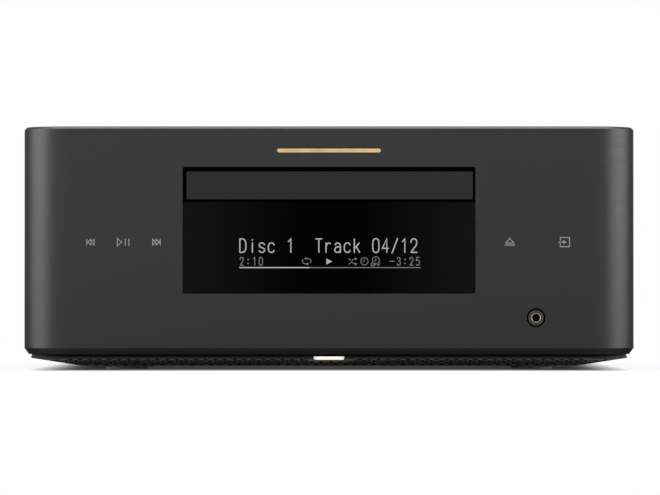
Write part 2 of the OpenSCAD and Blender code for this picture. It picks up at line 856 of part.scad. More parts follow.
module belt_loop(grow) {
    hull() {
        translate([pinion_x, pinion_y]) circle(pulley_r + grow);
        translate([motor_x, motor_y]) circle(motor_pulley_r + grow);
    }
}

module clamp_bridge() {
    color("#9fa3a6") difference() {
        block([-loader_half, disc_y - bridge_half_y, bridge_z],
            [loader_half, disc_y + bridge_half_y, bridge_z + bridge_t]);
        rod_z(0, disc_y, clamper_r + 1, bridge_z - 1, bridge_z + bridge_t + 1);
        for (s = [-1, 1], y = [-14, 14])
            rod_z(s * (loader_half - 2.5), disc_y + y, screw_hole_r,
                bridge_z - 1, bridge_z + bridge_t + 1);
        for (s = [-1, 1])
            slab(bridge_z - 1, bridge_z + bridge_t + 1)
                translate([s * 42, disc_y]) round_rect(26, 18, 4);
    }
}

module clamper() {
    color("#1d1d1f") difference() {
        union() {
            rod_z(0, disc_y, clamper_r, clamper_z, bridge_z + bridge_t + 1);
            rod_z(0, disc_y, clamper_r + 4, bridge_z + bridge_t + 0.2, bridge_z + bridge_t + 1.7);
        }
        rod_z(0, disc_y, hub_r + 0.6, clamper_z - 1, clamper_z + 2.5);
    }
}

module loader_brackets() {
    color("#a9adb0") for (s = [0, 1])
        mirror([s, 0, 0]) difference() {
            union() {
                block([bracket_x, bracket_y0, chassis_z],
                    [bracket_x + 12, bracket_y1, chassis_z + sheet]);
                block([bracket_x, bracket_y0, chassis_z], [bracket_x + sheet, bracket_y1, loader_z]);
                block([loader_half - 6, bracket_y0, loader_z - sheet],
                    [bracket_x + sheet, bracket_y1, loader_z]);
            }
            for (y = ear_ys)
                rod_z(ear_x, y, screw_hole_r, loader_z - sheet - 1, loader_z + 1);
            for (i = [-1:1])
                sideways(bracket_x - 1, bracket_x + sheet + 1)
                    translate([0.5 * (bracket_y0 + bracket_y1) + i * 42, 0.5 * (chassis_z + loader_z)])
                        round_rect(30, 22, 4);
        }
}

module main_board() {
    color("#1f5c36") difference() {
        block([-main_half, main_y0, board_z], [main_half, main_y1, board_top]);
        for (s = [-1, 1], y = main_hole_ys)
            rod_z(s * main_hole_x, y, screw_hole_r, board_z - 1, board_top + 1);
    }
}

module board_standoffs() {
    color("#c2a860") {
        for (s = [-1, 1], y = main_hole_ys)
            standoff(s * main_hole_x, y);
        for (x = power_hole_xs, y = power_hole_ys)
            standoff(x, y);
    }
}

module standoff(x, y) {
    difference() {
        rod_z(x, y, standoff_r, chassis_z, board_z);
        rod_z(x, y, screw_r + 0.1, chassis_z + 0.8, board_z + 1);
    }
}

module board_screws() {
    color("#c9c9c4") {
        for (s = [-1, 1], y = main_hole_ys)
            translate([s * main_hole_x, y, board_top]) screw(board_t + standoff_h - 2);
        for (x = power_hole_xs, y = power_hole_ys)
            translate([x, y, board_top]) screw(board_t + standoff_h - 2);
        for (s = [-1, 1], y = ear_ys)
            translate([s * ear_x, y, loader_deck]) screw(loader_deck_t + sheet + 1.5);
        for (s = [-1, 1], y = [-14, 14])
            translate([s * (loader_half - 2.5), disc_y + y, bridge_z + bridge_t]) screw(bridge_t + 6);
    }
}

module board_components() {
    color("#2b2b2e") {
        block([-13, main_y0 + 2, board_top], [13, main_y0 + 8, board_top + 4.4]);
        block([30, main_y1 - 52, board_top], [56, main_y1 - 46, board_top + 4.4]);
        for (x = [-46, -20, 30])
            block([x, main_y0 + 34, board_top], [x + 16, main_y0 + 50, board_top + 1.6]);
        for (i = [0:5])
            block([-58 + i * 18, main_y0 + 66, board_top],
                [-48 + i * 18, main_y0 + 72, board_top + 1.4]);
        for (i = [0:6], j = [0, 1])
            rod_z(-54 + i * 17, main_y0 + 88 + j * 14, 4, board_top, board_top + 11);
        for (i = [0, 1])
            rod_z(30 + i * 18, main_y0 + 20, 6, board_top, board_top + 16);
    }
}

module network_module() {
    y = main_y0 + 122;
    color("#b4b8ba") union() {
        block([-30, y, board_top], [16, y + 30, board_top + 1.6]);
        block([-28, y + 2, board_top + 1.5], [14, y + 28, board_top + 4.6]);
    }
}

module power_board() {
    color("#8a6a3a") difference() {
        block([power_x0, power_y0, board_z], [power_x1, power_y1, board_top]);
        for (x = power_hole_xs, y = power_hole_ys)
            rod_z(x, y, screw_hole_r, board_z - 1, board_top + 1);
    }
}

module transformer() {
    y = power_y0 + 62;
    color("#c9a227") union() {
        block([power_mid - 13, y - 16, board_top], [power_mid + 13, y + 16, board_top + 4]);
        block([power_mid - 10, y - 11, board_top + 3], [power_mid + 10, y + 11, board_top + 27]);
        block([power_mid - 13, y - 16, board_top + 26], [power_mid + 13, y + 16, board_top + 30]);
        for (s = [-1, 1])
            block([power_mid - 13, y + s * 13.5 - 2.5, board_top + 3],
                [power_mid + 13, y + s * 13.5 + 2.5, board_top + 27]);
    }
}

module power_capacitors() {
    color("#20314a") for (y = [power_y0 + 24, power_y0 + 102, power_y0 + 124])
        rod_z(power_mid, y, 9, board_top, board_top + 31);
}

module heatsink() {
    step = (sink_x1 - sink_x0 - sink_fin_t) / (sink_fins - 1);
    color("#3c3f42") union() {
        block([sink_x0, sink_y0, chassis_z], [sink_x1, sink_y1, chassis_z + 5]);
        for (i = [0:sink_fins - 1])
            block([sink_x0 + i * step, sink_y0, chassis_z + 4],
                [sink_x0 + i * step + sink_fin_t, sink_y1, chassis_z + 40]);
    }
}

// Flat cable drawn as a thin strip along two straight runs
module ribbon(x0, x1, y, z_top, z_bend, y_end, z_end) {
    t = 0.4;
    sideways(x0, x1)
        polygon([[y, z_top], [y, z_bend], [y_end, z_end], [y_end, z_end + t],
            [y + t, z_bend + t], [y + t, z_top]]);
}

module ribbon_cables() {
    color("#d9d7cf") {
        ribbon(-12, 12, holder_y + board_t, display_z - 4, display_z - 22, main_y0 + 2, board_top + 2);
        ribbon(31, 55, loader_end, rail_z - 8, loader_z - 20, main_y1 - 52, board_top + 2);
    }
}

module terminal_base() {
    color("#161616") difference() {
        block([base_x0, panel_y, post_z - 12], [base_x1, rear_y, post_z + 12]);
        for (x = post_xs)
            rod_y(x, post_z, stud_r + 0.02, panel_y - 1, rear_y + 1);
    }
}

module post_studs() {
    color("#c8a24a") for (x = post_xs)
        difference() {
            union() {
                rod_y(x, post_z, stud_r, panel_in_y - stud_in, stud_end);
                rod_y(x, post_z, stud_r + 2.5, panel_in_y - 3, panel_in_y);
            }
            rod_y(x, post_z, plug_r, stud_end - plug_depth, stud_end + 1);
        }
}

module post_cap(i) {
    x = post_xs[i];
    color(i % 2 == 0 ? "#1b1b1b" : "#a01c1c") difference() {
        rod_y(x, post_z, cap_r, cap_y, cap_end);
        rod_y(x, post_z, stud_r + pin_gap, cap_y - 1, cap_end + 1);
        for (k = [0:11])
            rod_y(x + (cap_r + 0.3) * cos(30 * k), post_z + (cap_r + 0.3) * sin(30 * k), 0.9,
                cap_y + 4, cap_end + 1);
    }
}

module post_cap_1() {
    post_cap(0);
}

module post_cap_2() {
    post_cap(1);
}

module post_cap_3() {
    post_cap(2);
}

module post_cap_4() {
    post_cap(3);
}

module phono_jacks() {
    color("#b9b9b4") for (x = phono_xs)
        difference() {
            union() {
                block([x - 6, panel_in_y - 12, board_top],
                    [x + 6, panel_in_y, phono_z + phono_rise + 7]);
                for (i = [0, 1]) {
                    rod_y(x, phono_z + i * phono_rise, phono_seat_r, panel_in_y - 1, panel_y);
                    rod_y(x, phono_z + i * phono_rise, phono_shell_r,
                        panel_y - 1, panel_y + phono_out);
                }
            }
            for (i = [0, 1])
                rod_y(x, phono_z + i * phono_rise, 1.65, panel_in_y - 6, panel_y + phono_out + 1);
            for (i = [0, 1])
                translate([x, panel_y + phono_out, phono_z + i * phono_rise]) rotate([90, 0, 0])
                    difference() {
                        translate([0, 0, -1]) cylinder(r = 3.6, h = 4);
                        translate([0, 0, -2]) cylinder(r = 2.6, h = 6);
                    }
        }
}

module optical_sockets() {
    color("#1c1c1c") for (x = optic_xs)
        difference() {
            block([x - optic_w / 2, panel_in_y - 12, board_top],
                [x + optic_w / 2, panel_y + 1, optic_top]);
            block([x - 3.1, panel_y - 8, optic_z - 3.1], [x + 3.1, panel_y + 2, optic_z + 3.1]);
        }
}

module network_jack() {
    color("#9ea2a5") difference() {
        block([net_x - net_w / 2, panel_in_y - 16, board_top],
            [net_x + net_w / 2, panel_y + 1, board_top + net_h]);
        block([net_x - 5.9, panel_y - 12, board_top + 3], [net_x + 5.9, panel_y + 2, board_top + 11]);
        block([net_x - 2, panel_y - 12, board_top + 1.4], [net_x + 2, panel_y + 2, board_top + 3.1]);
    }
}

module data_jack() {
    color("#c4c7c9") difference() {
        block([data_x - data_w / 2, panel_in_y - 14, board_top],
            [data_x + data_w / 2, panel_y + 1, board_top + data_h]);
        difference() {
            block([data_x - 6.3, panel_y - 10, board_top + 1],
                [data_x + 6.3, panel_y + 2, board_top + 6]);
            block([data_x - 5.6, panel_y - 11, board_top + 3.6],
                [data_x + 5.6, panel_y - 1, board_top + 5.4]);
        }
    }
}

module mains_inlet() {
    w = inlet_w - 4;
    h = inlet_h - 4;
    color("#131313") union() {
        difference() {
            union() {
                block([inlet_x - inlet_w / 2, panel_y, inlet_z - inlet_h / 2],
                    [inlet_x + inlet_w / 2, panel_y + 2.6, inlet_z + inlet_h / 2]);
                block([inlet_x - w / 2, panel_y - 16, inlet_z - h / 2],
                    [inlet_x + w / 2, panel_y + 1, inlet_z + h / 2]);
            }
            block([inlet_x - w / 2 + 1.6, panel_y - 13, inlet_z - h / 2 + 1.8],
                [inlet_x + w / 2 - 1.6, panel_y + 4, inlet_z + h / 2 - 1.8]);
        }
        for (p = [[-7, -2.5], [0, 2.5], [7, -2.5]])
            block([inlet_x + p[0] - 1, panel_y - 14, inlet_z + p[1] - 2],
                [inlet_x + p[0] + 1, panel_y - 1, inlet_z + p[1] + 2]);
    }
}

module antenna_sockets() {
    color("#c9a64f") {
        for (x = aerial_xs)
            difference() {
                union() {
                    rod_y(x, aerial_z, aerial_r, panel_in_y - 8, panel_y + 9);
                    rod_y(x, aerial_z, aerial_r + 2.2, panel_in_y - 3, panel_in_y);
                    rod_y(x, aerial_z, aerial_r + 1.6, panel_y, panel_y + 2);
                }
                rod_y(x, aerial_z, aerial_r - 0.9, panel_y + 3, panel_y + 10);
            }
        difference() {
            union() {
                rod_y(tuner_x, tuner_z, tuner_r, panel_in_y - 10, panel_y + 10);
                rod_y(tuner_x, tuner_z, tuner_r + 2.2, panel_in_y - 3, panel_in_y);
                rod_y(tuner_x, tuner_z, tuner_r + 1.8, panel_y, panel_y + 2.4);
            }
            rod_y(tuner_x, tuner_z, tuner_r - 1.2, panel_y + 4, panel_y + 11);
        }
    }
}

module disc_tray() {
    first = -3;
    last = ceil(tray_travel / PI / drive_m) + 3;
    color("#2a2a2c") difference() {
        union() {
            block([-tray_half, tray_y, tray_z], [tray_half, tray_end, tray_top]);
            for (s = [0, 1])
                mirror([s, 0, 0])
                    block([tray_half - 0.5, tray_y + 2, tray_z],
                        [tray_half + runner_w, tray_end, tray_z + runner_h]);
            translate([rack_x, drive_y, tray_z - rack_h])
                rack(drive_m, first, last, backlash, 3.5, rack_h + 0.5);
        }
        rod_z(0, disc_y, disc_r, well_z, tray_top + 1);
        rod_z(0, disc_y, small_disc_r, small_well_z, tray_top + 1);
        rod_z(0, disc_y, slot_w / 2, tray_z - 1, tray_top + 1);
        block([-slot_w / 2, disc_y, tray_z - 1], [slot_w / 2, tray_end + 1, tray_top + 1]);
    }
}

module tray_door() {
    color("#303031") block([door_shift - door_w / 2, door_y, door_z],
        [door_shift + door_w / 2, tray_y, door_top]);
}

module cam_slider() {
    slope = atan2(cam_drop, cam_travel);
    run = sqrt(cam_drop * cam_drop + cam_travel * cam_travel);
    color("#d8d4c4") difference() {
        union() {
            block([cam_left, cam_y, cam_low], [cam_right, cam_y + cam_t, cam_high]);
            block([cam_left, cam_y - 2.5, loader_deck + slide_gap],
                [cam_right, cam_y + 0.5, loader_deck + slide_gap + 1.2]);
        }
        facing(cam_y - 3, cam_y + cam_t + 1)
            translate([0, cam_pin_z]) rotate([0, 0, slope]) cam_slot(run);
    }
}

module cam_slot(run) {
    r = cam_pin_r + cam_gap;
    translate([-run, -r]) square([run, 2 * r]);
    circle(r);
    translate([-run, 0]) circle(r);
}

module traverse_frame() {
    color("#3a3d40") difference() {
        union() {
            block([frame_left, frame_y, frame_z], [frame_right, pivot_y + 6, frame_top]);
            rod_x(pivot_y, pivot_z, pivot_r, frame_left - ear_t - 0.6, frame_left + 6);
            rod_x(pivot_y, pivot_z, pivot_r, frame_right - 6, frame_right + ear_t + 0.6);
            for (x = [frame_left, frame_right - 6])
                block([x, pivot_y - 4, frame_z], [x + 6, pivot_y + 4, pivot_z + 4]);
            rod_y(0, cam_pin_z, cam_pin_r, cam_y + 0.4, frame_y + 1);
            block([-5, frame_y - 1.5, frame_z], [5, frame_y + 1, frame_top + 2]);
            for (s = [-1, 1], y = [guide_y0, guide_y1 - guide_block])
                block([s * guide_x - 3, y, frame_top - 0.5],
                    [s * guide_x + 3, y + guide_block, guide_z + 2.5]);
            rod_z(sled_gear_x, sled_gear_y, sled_pin_r, frame_top - 1, sled_gear_z + sled_gear_h + 0.4);
        }
        block([-24.5, disc_y + 13, frame_z - 1], [24.5, guide_y1 - guide_block - 1, frame_top + 1]);
        rod_z(0, disc_y, 5, frame_z - 1, frame_top + 1);
        rod_z(sled_pinion_x, sled_pinion_y, 2.6, frame_z - 1, frame_top + 1);
        for (s = [-1, 1])
            rod_y(s * guide_x, guide_z, rail_r + 0.02, guide_y0 - 1, guide_y1 + 1);
    }
}

module sled_rails() {
    color("#d4d6d8") for (s = [-1, 1])
        rod_y(s * guide_x, guide_z, rail_r, guide_y0, guide_y1);
}

module spindle_motor() {
    color("#aeb1b3") difference() {
        union() {
            rod_z(0, disc_y, spindle_motor_r, frame_z - spindle_motor_h, frame_z);
            rod_z(0, disc_y, 3, frame_z - 1, frame_top + 0.6);
        }
        rod_z(0, disc_y, spindle_r + pin_gap, frame_z - spindle_motor_h + 1, frame_top + 1);
    }
}

module turntable() {
    color("#1e1e20") union() {
        rod_z(0, disc_y, spindle_r, frame_z - spindle_motor_h + 1.4, disc_z - 2);
        rod_z(0, disc_y, 4, frame_top + 1.2, disc_z - 2);
        rod_z(0, disc_y, turntable_r, disc_z - 3, disc_z);
        rod_z(0, disc_y, hub_r, disc_z - 1, disc_z + 1.2);
        translate([0, disc_y, disc_z + 1.2])
            cylinder(r1 = hub_r, r2 = hub_r - 2.2, h = hub_top - disc_z - 1.2);
    }
}

module pickup_sled() {
    first = -ceil(sled_travel / PI / sled_m) - 4;
    color("#26282b") difference() {
        union() {
            block([-15, sled_y0 + 2, sled_z0], [15, sled_y1, frame_top + 1.5]);
            block([-24, sled_y0, frame_top + 0.6], [24, sled_y1, sled_z1]);
            rod_z(0, lens_y, lens_r + 3.5, sled_z1 - 1, lens_top - 0.6);
            translate([sled_rack_x, sled_gear_y, sled_gear_z])
                rack(sled_m, first, 4, sled_backlash, 2.2, sled_gear_h - 0.2);
            block([23, sled_y0, sled_gear_z], [sled_rack_x - 1.5 * sled_m, sled_y1, sled_gear_z + 2.8]);
        }
        for (s = [-1, 1])
            rod_y(s * guide_x, guide_z, rail_r + pin_gap, sled_y0 - 1, sled_y1 + 1);
        rod_z(0, lens_y, lens_r + 0.5, lens_top - 3.6, lens_top + 1);
    }
}

module focus_lens() {
    color("#7fa6c8") union() {
        rod_z(0, lens_y, lens_r, lens_top - 3, lens_top - 0.6);
        rod_z(0, lens_y, lens_r - 1.2, lens_top - 1, lens_top);
    }
}

module sled_gear() {
    color("#e6e4dc") difference() {
        translate([sled_gear_x, sled_gear_y, sled_gear_z]) rotate([0, 0, sled_phase])
            gear(sled_m, sled_teeth, sled_backlash, sled_gear_h);
        rod_z(sled_gear_x, sled_gear_y, sled_pin_r + pin_gap,
            sled_gear_z - 1, sled_gear_z + sled_gear_h + 1);
    }
}

module sled_pinion() {
    color("#c8b46a") union() {
        translate([sled_pinion_x, sled_pinion_y, sled_gear_z]) rotate([0, 0, sled_pinion_phase])
            gear(sled_m, sled_pinion_teeth, sled_backlash, sled_gear_h);
        rod_z(sled_pinion_x, sled_pinion_y, 1, frame_z - 8, sled_gear_z + 0.5);
    }
}

module sled_motor() {
    color("#b9bbbd") difference() {
        union() {
            rod_z(sled_pinion_x, sled_pinion_y, sled_motor_r, frame_z - sled_motor_h, frame_z);
            rod_z(sled_pinion_x, sled_pinion_y, 2.2, frame_z - 1, frame_top + 0.4);
        }
        rod_z(sled_pinion_x, sled_pinion_y, 1 + pin_gap, frame_z - 9, frame_top + 1);
    }
}

front_panel();
cabinet();
top_plate();
rear_panel();
chassis();
under_tray();
feet();
display_window();
display_module();
display_holder();
touch_board_left();
touch_board_right();
headphone_jack();
jack_sleeve();
badge_bar();
light_bar();
loader_chassis();
loading_motor();
drive_belt();
clamp_bridge();
loader_brackets();
main_board();
board_components();
board_standoffs();
power_board();
transformer();
power_capacitors();
heatsink();
network_module();
ribbon_cables();
terminal_base();
post_studs();
phono_jacks();
optical_sockets();
network_jack();
data_jack();
mains_inlet();
antenna_sockets();
case_screws();
board_screws();
disc_tray();
tray_door();
drive_gear();
pulley_gear();
motor_pulley();
cam_slider();
traverse_frame();
sled_rails();
spindle_motor();
sled_motor();
turntable();
pickup_sled();
focus_lens();
sled_pinion();
sled_gear();
clamper();
post_cap_1();
post_cap_2();
post_cap_3();
post_cap_4();
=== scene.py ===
import json
import math

import bmesh
import bpy
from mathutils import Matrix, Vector

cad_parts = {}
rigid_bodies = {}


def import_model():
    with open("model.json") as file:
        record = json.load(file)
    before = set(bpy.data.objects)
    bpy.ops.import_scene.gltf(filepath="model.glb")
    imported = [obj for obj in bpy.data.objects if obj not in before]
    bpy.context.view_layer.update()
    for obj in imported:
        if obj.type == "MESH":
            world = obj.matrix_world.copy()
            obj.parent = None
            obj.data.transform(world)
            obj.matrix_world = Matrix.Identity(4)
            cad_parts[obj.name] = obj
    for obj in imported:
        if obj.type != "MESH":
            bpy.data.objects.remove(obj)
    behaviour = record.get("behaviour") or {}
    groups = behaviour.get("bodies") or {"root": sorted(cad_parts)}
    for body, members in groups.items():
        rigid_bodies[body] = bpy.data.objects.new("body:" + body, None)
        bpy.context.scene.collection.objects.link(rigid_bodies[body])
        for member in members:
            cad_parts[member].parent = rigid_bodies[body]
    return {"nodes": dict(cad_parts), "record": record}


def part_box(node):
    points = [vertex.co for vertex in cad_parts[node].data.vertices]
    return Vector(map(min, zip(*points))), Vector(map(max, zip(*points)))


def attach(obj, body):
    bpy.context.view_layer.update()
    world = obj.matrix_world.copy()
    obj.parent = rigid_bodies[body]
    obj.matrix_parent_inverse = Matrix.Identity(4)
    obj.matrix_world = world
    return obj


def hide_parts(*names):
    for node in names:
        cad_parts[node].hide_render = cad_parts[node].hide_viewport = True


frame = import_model()
for spare in [item for item in bpy.data.objects if item.name in ("Cube", "Light", "Camera")]:
    bpy.data.objects.remove(spare)
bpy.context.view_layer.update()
nodes = frame["nodes"]
scene = bpy.context.scene
scene.view_settings.view_transform = "Standard"
mm = 0.001
print("frame in:", len(nodes), "nodes")

# camera far in front, a little below the middle of the case and tipped up slightly
cameraView = {"place": (0.00045, -2.3515, 0.028), "tipUp": 0.01261, "lens": 263.6, "sensor": 36.0}

lens = bpy.data.cameras.new("frontCamera")
lens.lens = cameraView["lens"]
lens.sensor_width = cameraView["sensor"]
lens.sensor_fit = "HORIZONTAL"
frontCamera = bpy.data.objects.new("frontCamera", lens)
frontCamera.location = cameraView["place"]
frontCamera.rotation_euler = (math.pi / 2 + cameraView["tipUp"], 0, 0)
scene.collection.objects.link(frontCamera)
scene.camera = frontCamera
print("camera set")


# small node helpers: every finish is built from these
def feed(node, inputs):  # links an output to its socket, or sets a plain value on it
    for name, value in inputs.items():
        socket = node.inputs[name]
        if isinstance(value, bpy.types.NodeSocket):
            node.id_data.links.new(value, socket)
        elif socket.type == "RGBA":
            socket.default_value = (*value, 1.0)
        else:
            socket.default_value = value


def addNode(tree, kind, inputs, **settings):
    node = tree.nodes.new("ShaderNode" + kind)
    for name, value in settings.items():
        setattr(node, name, value)
    feed(node, inputs)
    return node


def surfaceCoords(tree, density, turn=(0, 0, 0)):  # density = features per metre, for all axes or for each
    if isinstance(density, (int, float)):
        density = (density,) * 3
    where = addNode(tree, "TexCoord", {}).outputs["Object"]
    return addNode(tree, "Mapping", {"Vector": where, "Rotation": turn, "Scale": density}).outputs[0]


def axesOf(tree, density=1):  # the place on the piece, as X, Y and Z apart
    return addNode(tree, "SeparateXYZ", {0: surfaceCoords(tree, density)}).outputs


def speckle(tree, density, detail=2.0):
    where = surfaceCoords(tree, density)
    return addNode(tree, "TexNoise", {"Vector": where, "Scale": 1.0, "Detail": detail}).outputs[0]


def cells(tree, density, output):
    return addNode(tree, "TexVoronoi", {"Vector": surfaceCoords(tree, density), "Scale": 1.0}).outputs[output]


def spread(value, low, high, fromLow=0.3, fromHigh=0.7):  # noise lies mostly between 0.3 and 0.7
    ends = {"From Min": fromLow, "From Max": fromHigh, "To Min": low, "To Max": high}
    return addNode(value.id_data, "MapRange", {"Value": value, **ends}).outputs["Result"]


def sums(operation, first, second=0.0):
    source = first if isinstance(first, bpy.types.NodeSocket) else second
    return addNode(source.id_data, "Math", {0: first, 1: second}, operation=operation).outputs[0]


def tint(factor, first, second):
    return addNode(factor.id_data, "Mix", {0: factor, 6: first, 7: second}, data_type="RGBA").outputs[2]


def softNormal(tree, radius):  # normal with the sharp edges eased over so many millimetres
    return addNode(tree, "Bevel", {"Radius": radius * mm}, samples=4).outputs[0]


wornBand = (0.72, 0.98)  # lean of the eased normal where wear is full, and where it starts


def wornEdge(tree, look):  # wear along sharp edges, 0 on open faces
    lie = addNode(tree, "NewGeometry", {}).outputs["Normal"]
    square = addNode(tree, "VectorMath", {0: softNormal(tree, look["edge"]), 1: lie}, operation="DOT_PRODUCT")
    return sums("MULTIPLY", spread(square.outputs["Value"], 1.0, 0.0, *wornBand), look["wear"])


def relief(height, depth, strength, edge=0.0):  # depth and edge in millimetres
    inputs = {"Strength": strength, "Distance": depth * mm, "Height": height}
    if edge:
        inputs["Normal"] = softNormal(height.id_data, edge)
    return addNode(height.id_data, "Bump", inputs).outputs[0]


def lighten(color, times):
    return tuple(min(1.0, part * times) for part in color)


def grey(level):
    return (level,) * 3


def makeFinish(name, family, look):
    finish = bpy.data.materials.new(name)
    finish.use_nodes = True
    feed(finish.node_tree.nodes["Principled BSDF"], family(finish.node_tree, look))
    return finish


# families of finish: each gives the shader's inputs, from a look and the grain that all its members share
metalGrain = {"cloud": 14, "cloudDetail": 3.0, "cloudShare": 0.3, "bump": 0.6, "upHighlightLift": (0.35, 0.6)}


def brushedMetal(tree, look):
    lines = speckle(tree, look["lines"])
    cloud = speckle(tree, metalGrain["cloud"], metalGrain["cloudDetail"])
    share = metalGrain["cloudShare"]
    tone = spread(sums("ADD", sums("MULTIPLY", lines, 1 - share), sums("MULTIPLY", cloud, share)), 0, 1)
    if "paintedLightRise" in look:  # painted light and shade: the tone grows lighter from foot to head and leans across the piece, lighter to the left
        foot, head, drift, lean = look["paintedLightRise"]
        place = axesOf(tree)
        slant = sums("SUBTRACT", place["Z"], sums("MULTIPLY", place["X"], lean))
        tone = sums("ADD", sums("MULTIPLY", tone, 1 - drift), spread(slant, 0, drift, foot, head))
    body = tint(tone, *(lighten(look["color"], 1 + side * look["contrast"]) for side in (-1, 1)))
    if "upHighlight" in look:  # painted highlight: faces that lean up are lighter, as if lit from above
        lie = addNode(tree, "NewGeometry", {}).outputs["Normal"]
        lift = addNode(tree, "SeparateXYZ", {0: lie}).outputs["Z"]
        body = tint(spread(lift, 0, 1, *metalGrain["upHighlightLift"]), body, look["upHighlight"])
    return {"Base Color": tint(wornEdge(tree, look), body, look["bare"]), "Metallic": look["metallic"],
            "Roughness": spread(lines, *look["roughness"]), "Specular Tint": grey(look.get("rim", 1.0)),
            "Normal": relief(lines, look["relief"], metalGrain["bump"], look["edge"])}


plasticGrain = {"detail": 4.0, "cloud": 40, "cloudTones": (0.88, 1.12), "rubbed": 2.2, "bump": 0.5}
plasticBase = {"grain": 1400, "roughness": (0.42, 0.58), "shine": 0.4, "relief": 0.02, "edge": 0.3,
               "wear": 0.25}


def mouldedPlastic(tree, look):
    look = {**plasticBase, **look}
    grain = speckle(tree, look["grain"], plasticGrain["detail"])
    cloud = spread(speckle(tree, plasticGrain["cloud"]), 0, 1)
    body = tint(cloud, *(lighten(look["color"], times) for times in plasticGrain["cloudTones"]))
    rubbed = lighten(look["color"], plasticGrain["rubbed"])
    return {"Base Color": tint(wornEdge(tree, look), body, rubbed), "Specular IOR Level": look["shine"],
            "Roughness": spread(grain, *look["roughness"]),
            "Normal": relief(grain, look["relief"], plasticGrain["bump"], look["edge"])}


paintGrain = {"dust": 260, "dustDetail": 6.0, "dustFrom": (0.45, 0.8), "dusty": 1.35, "bump": 0.5}


def paintedSheet(tree, look):
    peel = speckle(tree, look["grain"])
    dust = spread(speckle(tree, paintGrain["dust"], paintGrain["dustDetail"]), 0, 1, *paintGrain["dustFrom"])
    body = tint(dust, look["color"], lighten(look["color"], paintGrain["dusty"]))
    for foot, head, color in look.get("paintedShadeBands", ()):  # painted shade: darker tones above a height
        body = tint(spread(axesOf(tree)["Z"], 0, 1, foot, head), body, color)
    return {"Base Color": tint(wornEdge(tree, look), body, look["bare"]), "Metallic": look["metallic"],
            "Roughness": spread(peel, *look["roughness"]), "Specular IOR Level": look["shine"],
            "Normal": relief(peel, look["relief"], paintGrain["bump"], look["edge"])}


plateGrain = {"tarnish": 120, "tarnishDetail": 5.0, "tarnished": 0.72, "bump": 0.4}


def platedMetal(tree, look):
    turned = speckle(tree, look["lines"])
    tarnish = spread(speckle(tree, plateGrain["tarnish"], plateGrain["tarnishDetail"]), 0, 1)
    dull = lighten(look["color"], plateGrain["tarnished"])
    return {"Base Color": tint(tarnish, look["color"], dull), "Metallic": 1.0,
            "Roughness": spread(turned, *look["roughness"]),
            "Normal": relief(turned, look["relief"], plateGrain["bump"], look["edge"])}


polishGrain = {"smear": (38, 26, 38), "smearDetail": 5.0, "wave": 22, "waveDetail": 1.0, "bump": 0.3}


def polishedSheet(tree, look):  # pales a little towards its ends; on the window this is a painted reflection
    smear = speckle(tree, polishGrain["smear"], polishGrain["smearDetail"])
    wave = speckle(tree, polishGrain["wave"], polishGrain["waveDetail"])
    aside = spread(sums("ABSOLUTE", axesOf(tree)["X"]), 0, 1, *look["paleFrom"])
    return {"Base Color": tint(aside, look["color"], look["pale"]), "Specular IOR Level": look["shine"],
            "Roughness": spread(smear, *look["roughness"]),
            "Normal": relief(wave, look["relief"], polishGrain["bump"], look["edge"])}


boardGrain = {"tracks": 190, "trackGap": 0.035, "trackLong": 0.9, "trackWide": 0.22, "trackTone": 0.85,
              "pads": 170, "padEdge": (0.1, 0.16), "padMetal": 0.9, "weave": 900, "roughness": (0.35, 0.55),
              "relief": 0.04, "bump": 0.6}


def circuitBoard(tree, look):
    grain = boardGrain
    track = addNode(tree, "TexBrick", {
        "Vector": surfaceCoords(tree, grain["tracks"]), "Scale": 1.0, "Mortar Size": grain["trackGap"],
        "Brick Width": grain["trackLong"], "Row Height": grain["trackWide"], "Color1": look["color"],
        "Color2": lighten(look["color"], grain["trackTone"]), "Mortar": look["track"]}).outputs
    pads = spread(cells(tree, grain["pads"], "Distance"), 1, 0, *grain["padEdge"])
    return {"Base Color": tint(pads, track["Color"], look["pad"]),
            "Roughness": spread(speckle(tree, grain["weave"]), *grain["roughness"]),
            "Metallic": sums("MULTIPLY", pads, grain["padMetal"]),
            "Normal": relief(track["Fac"], grain["relief"], grain["bump"])}


bandGrain = {"wobble": 0.4, "bandEdge": (0.2, 0.8), "cloud": 90, "cloudDetail": 4.0, "grime": 0.35,
             "grimeTone": 0.5, "bump": 0.5}


def bandedPiece(tree, look):  # wound, sleeved or striped pieces: bands along one axis
    where = surfaceCoords(tree, look["bands"])
    band = addNode(tree, "TexWave", {"Vector": where, "Scale": 1.0, "Distortion": bandGrain["wobble"]},
                   bands_direction=look["along"]).outputs["Fac"]
    cloud = speckle(tree, bandGrain["cloud"], bandGrain["cloudDetail"])
    body = tint(spread(band, 0, 1, *bandGrain["bandEdge"]), look["color"], look["second"])
    grimy = lighten(look["color"], bandGrain["grimeTone"])
    return {"Base Color": tint(spread(cloud, 0, bandGrain["grime"]), body, grimy),
            "Roughness": spread(cloud, *look["roughness"]),
            "Normal": relief(band, look["relief"], bandGrain["bump"], look["edge"])}


def spangledZinc(tree, look):
    flake = addNode(tree, "RGBToBW", {0: cells(tree, look["flakes"], "Color")}).outputs[0]
    scuff = speckle(tree, look["scuff"])
    body = tint(spread(flake, 0, 1, 0, 1), lighten(look["color"], look["dull"]), look["color"])
    return {"Base Color": tint(wornEdge(tree, look), body, look["bare"]), "Metallic": 1.0,
            "Roughness": spread(scuff, *look["roughness"]),
            "Normal": relief(scuff, look["relief"], look["bump"], look["softEdge"])}


litGrain = {"flicker": 0.96, "haze": 500, "hazeTone": 0.8, "roughness": (0.35, 0.5), "shine": 0.2}


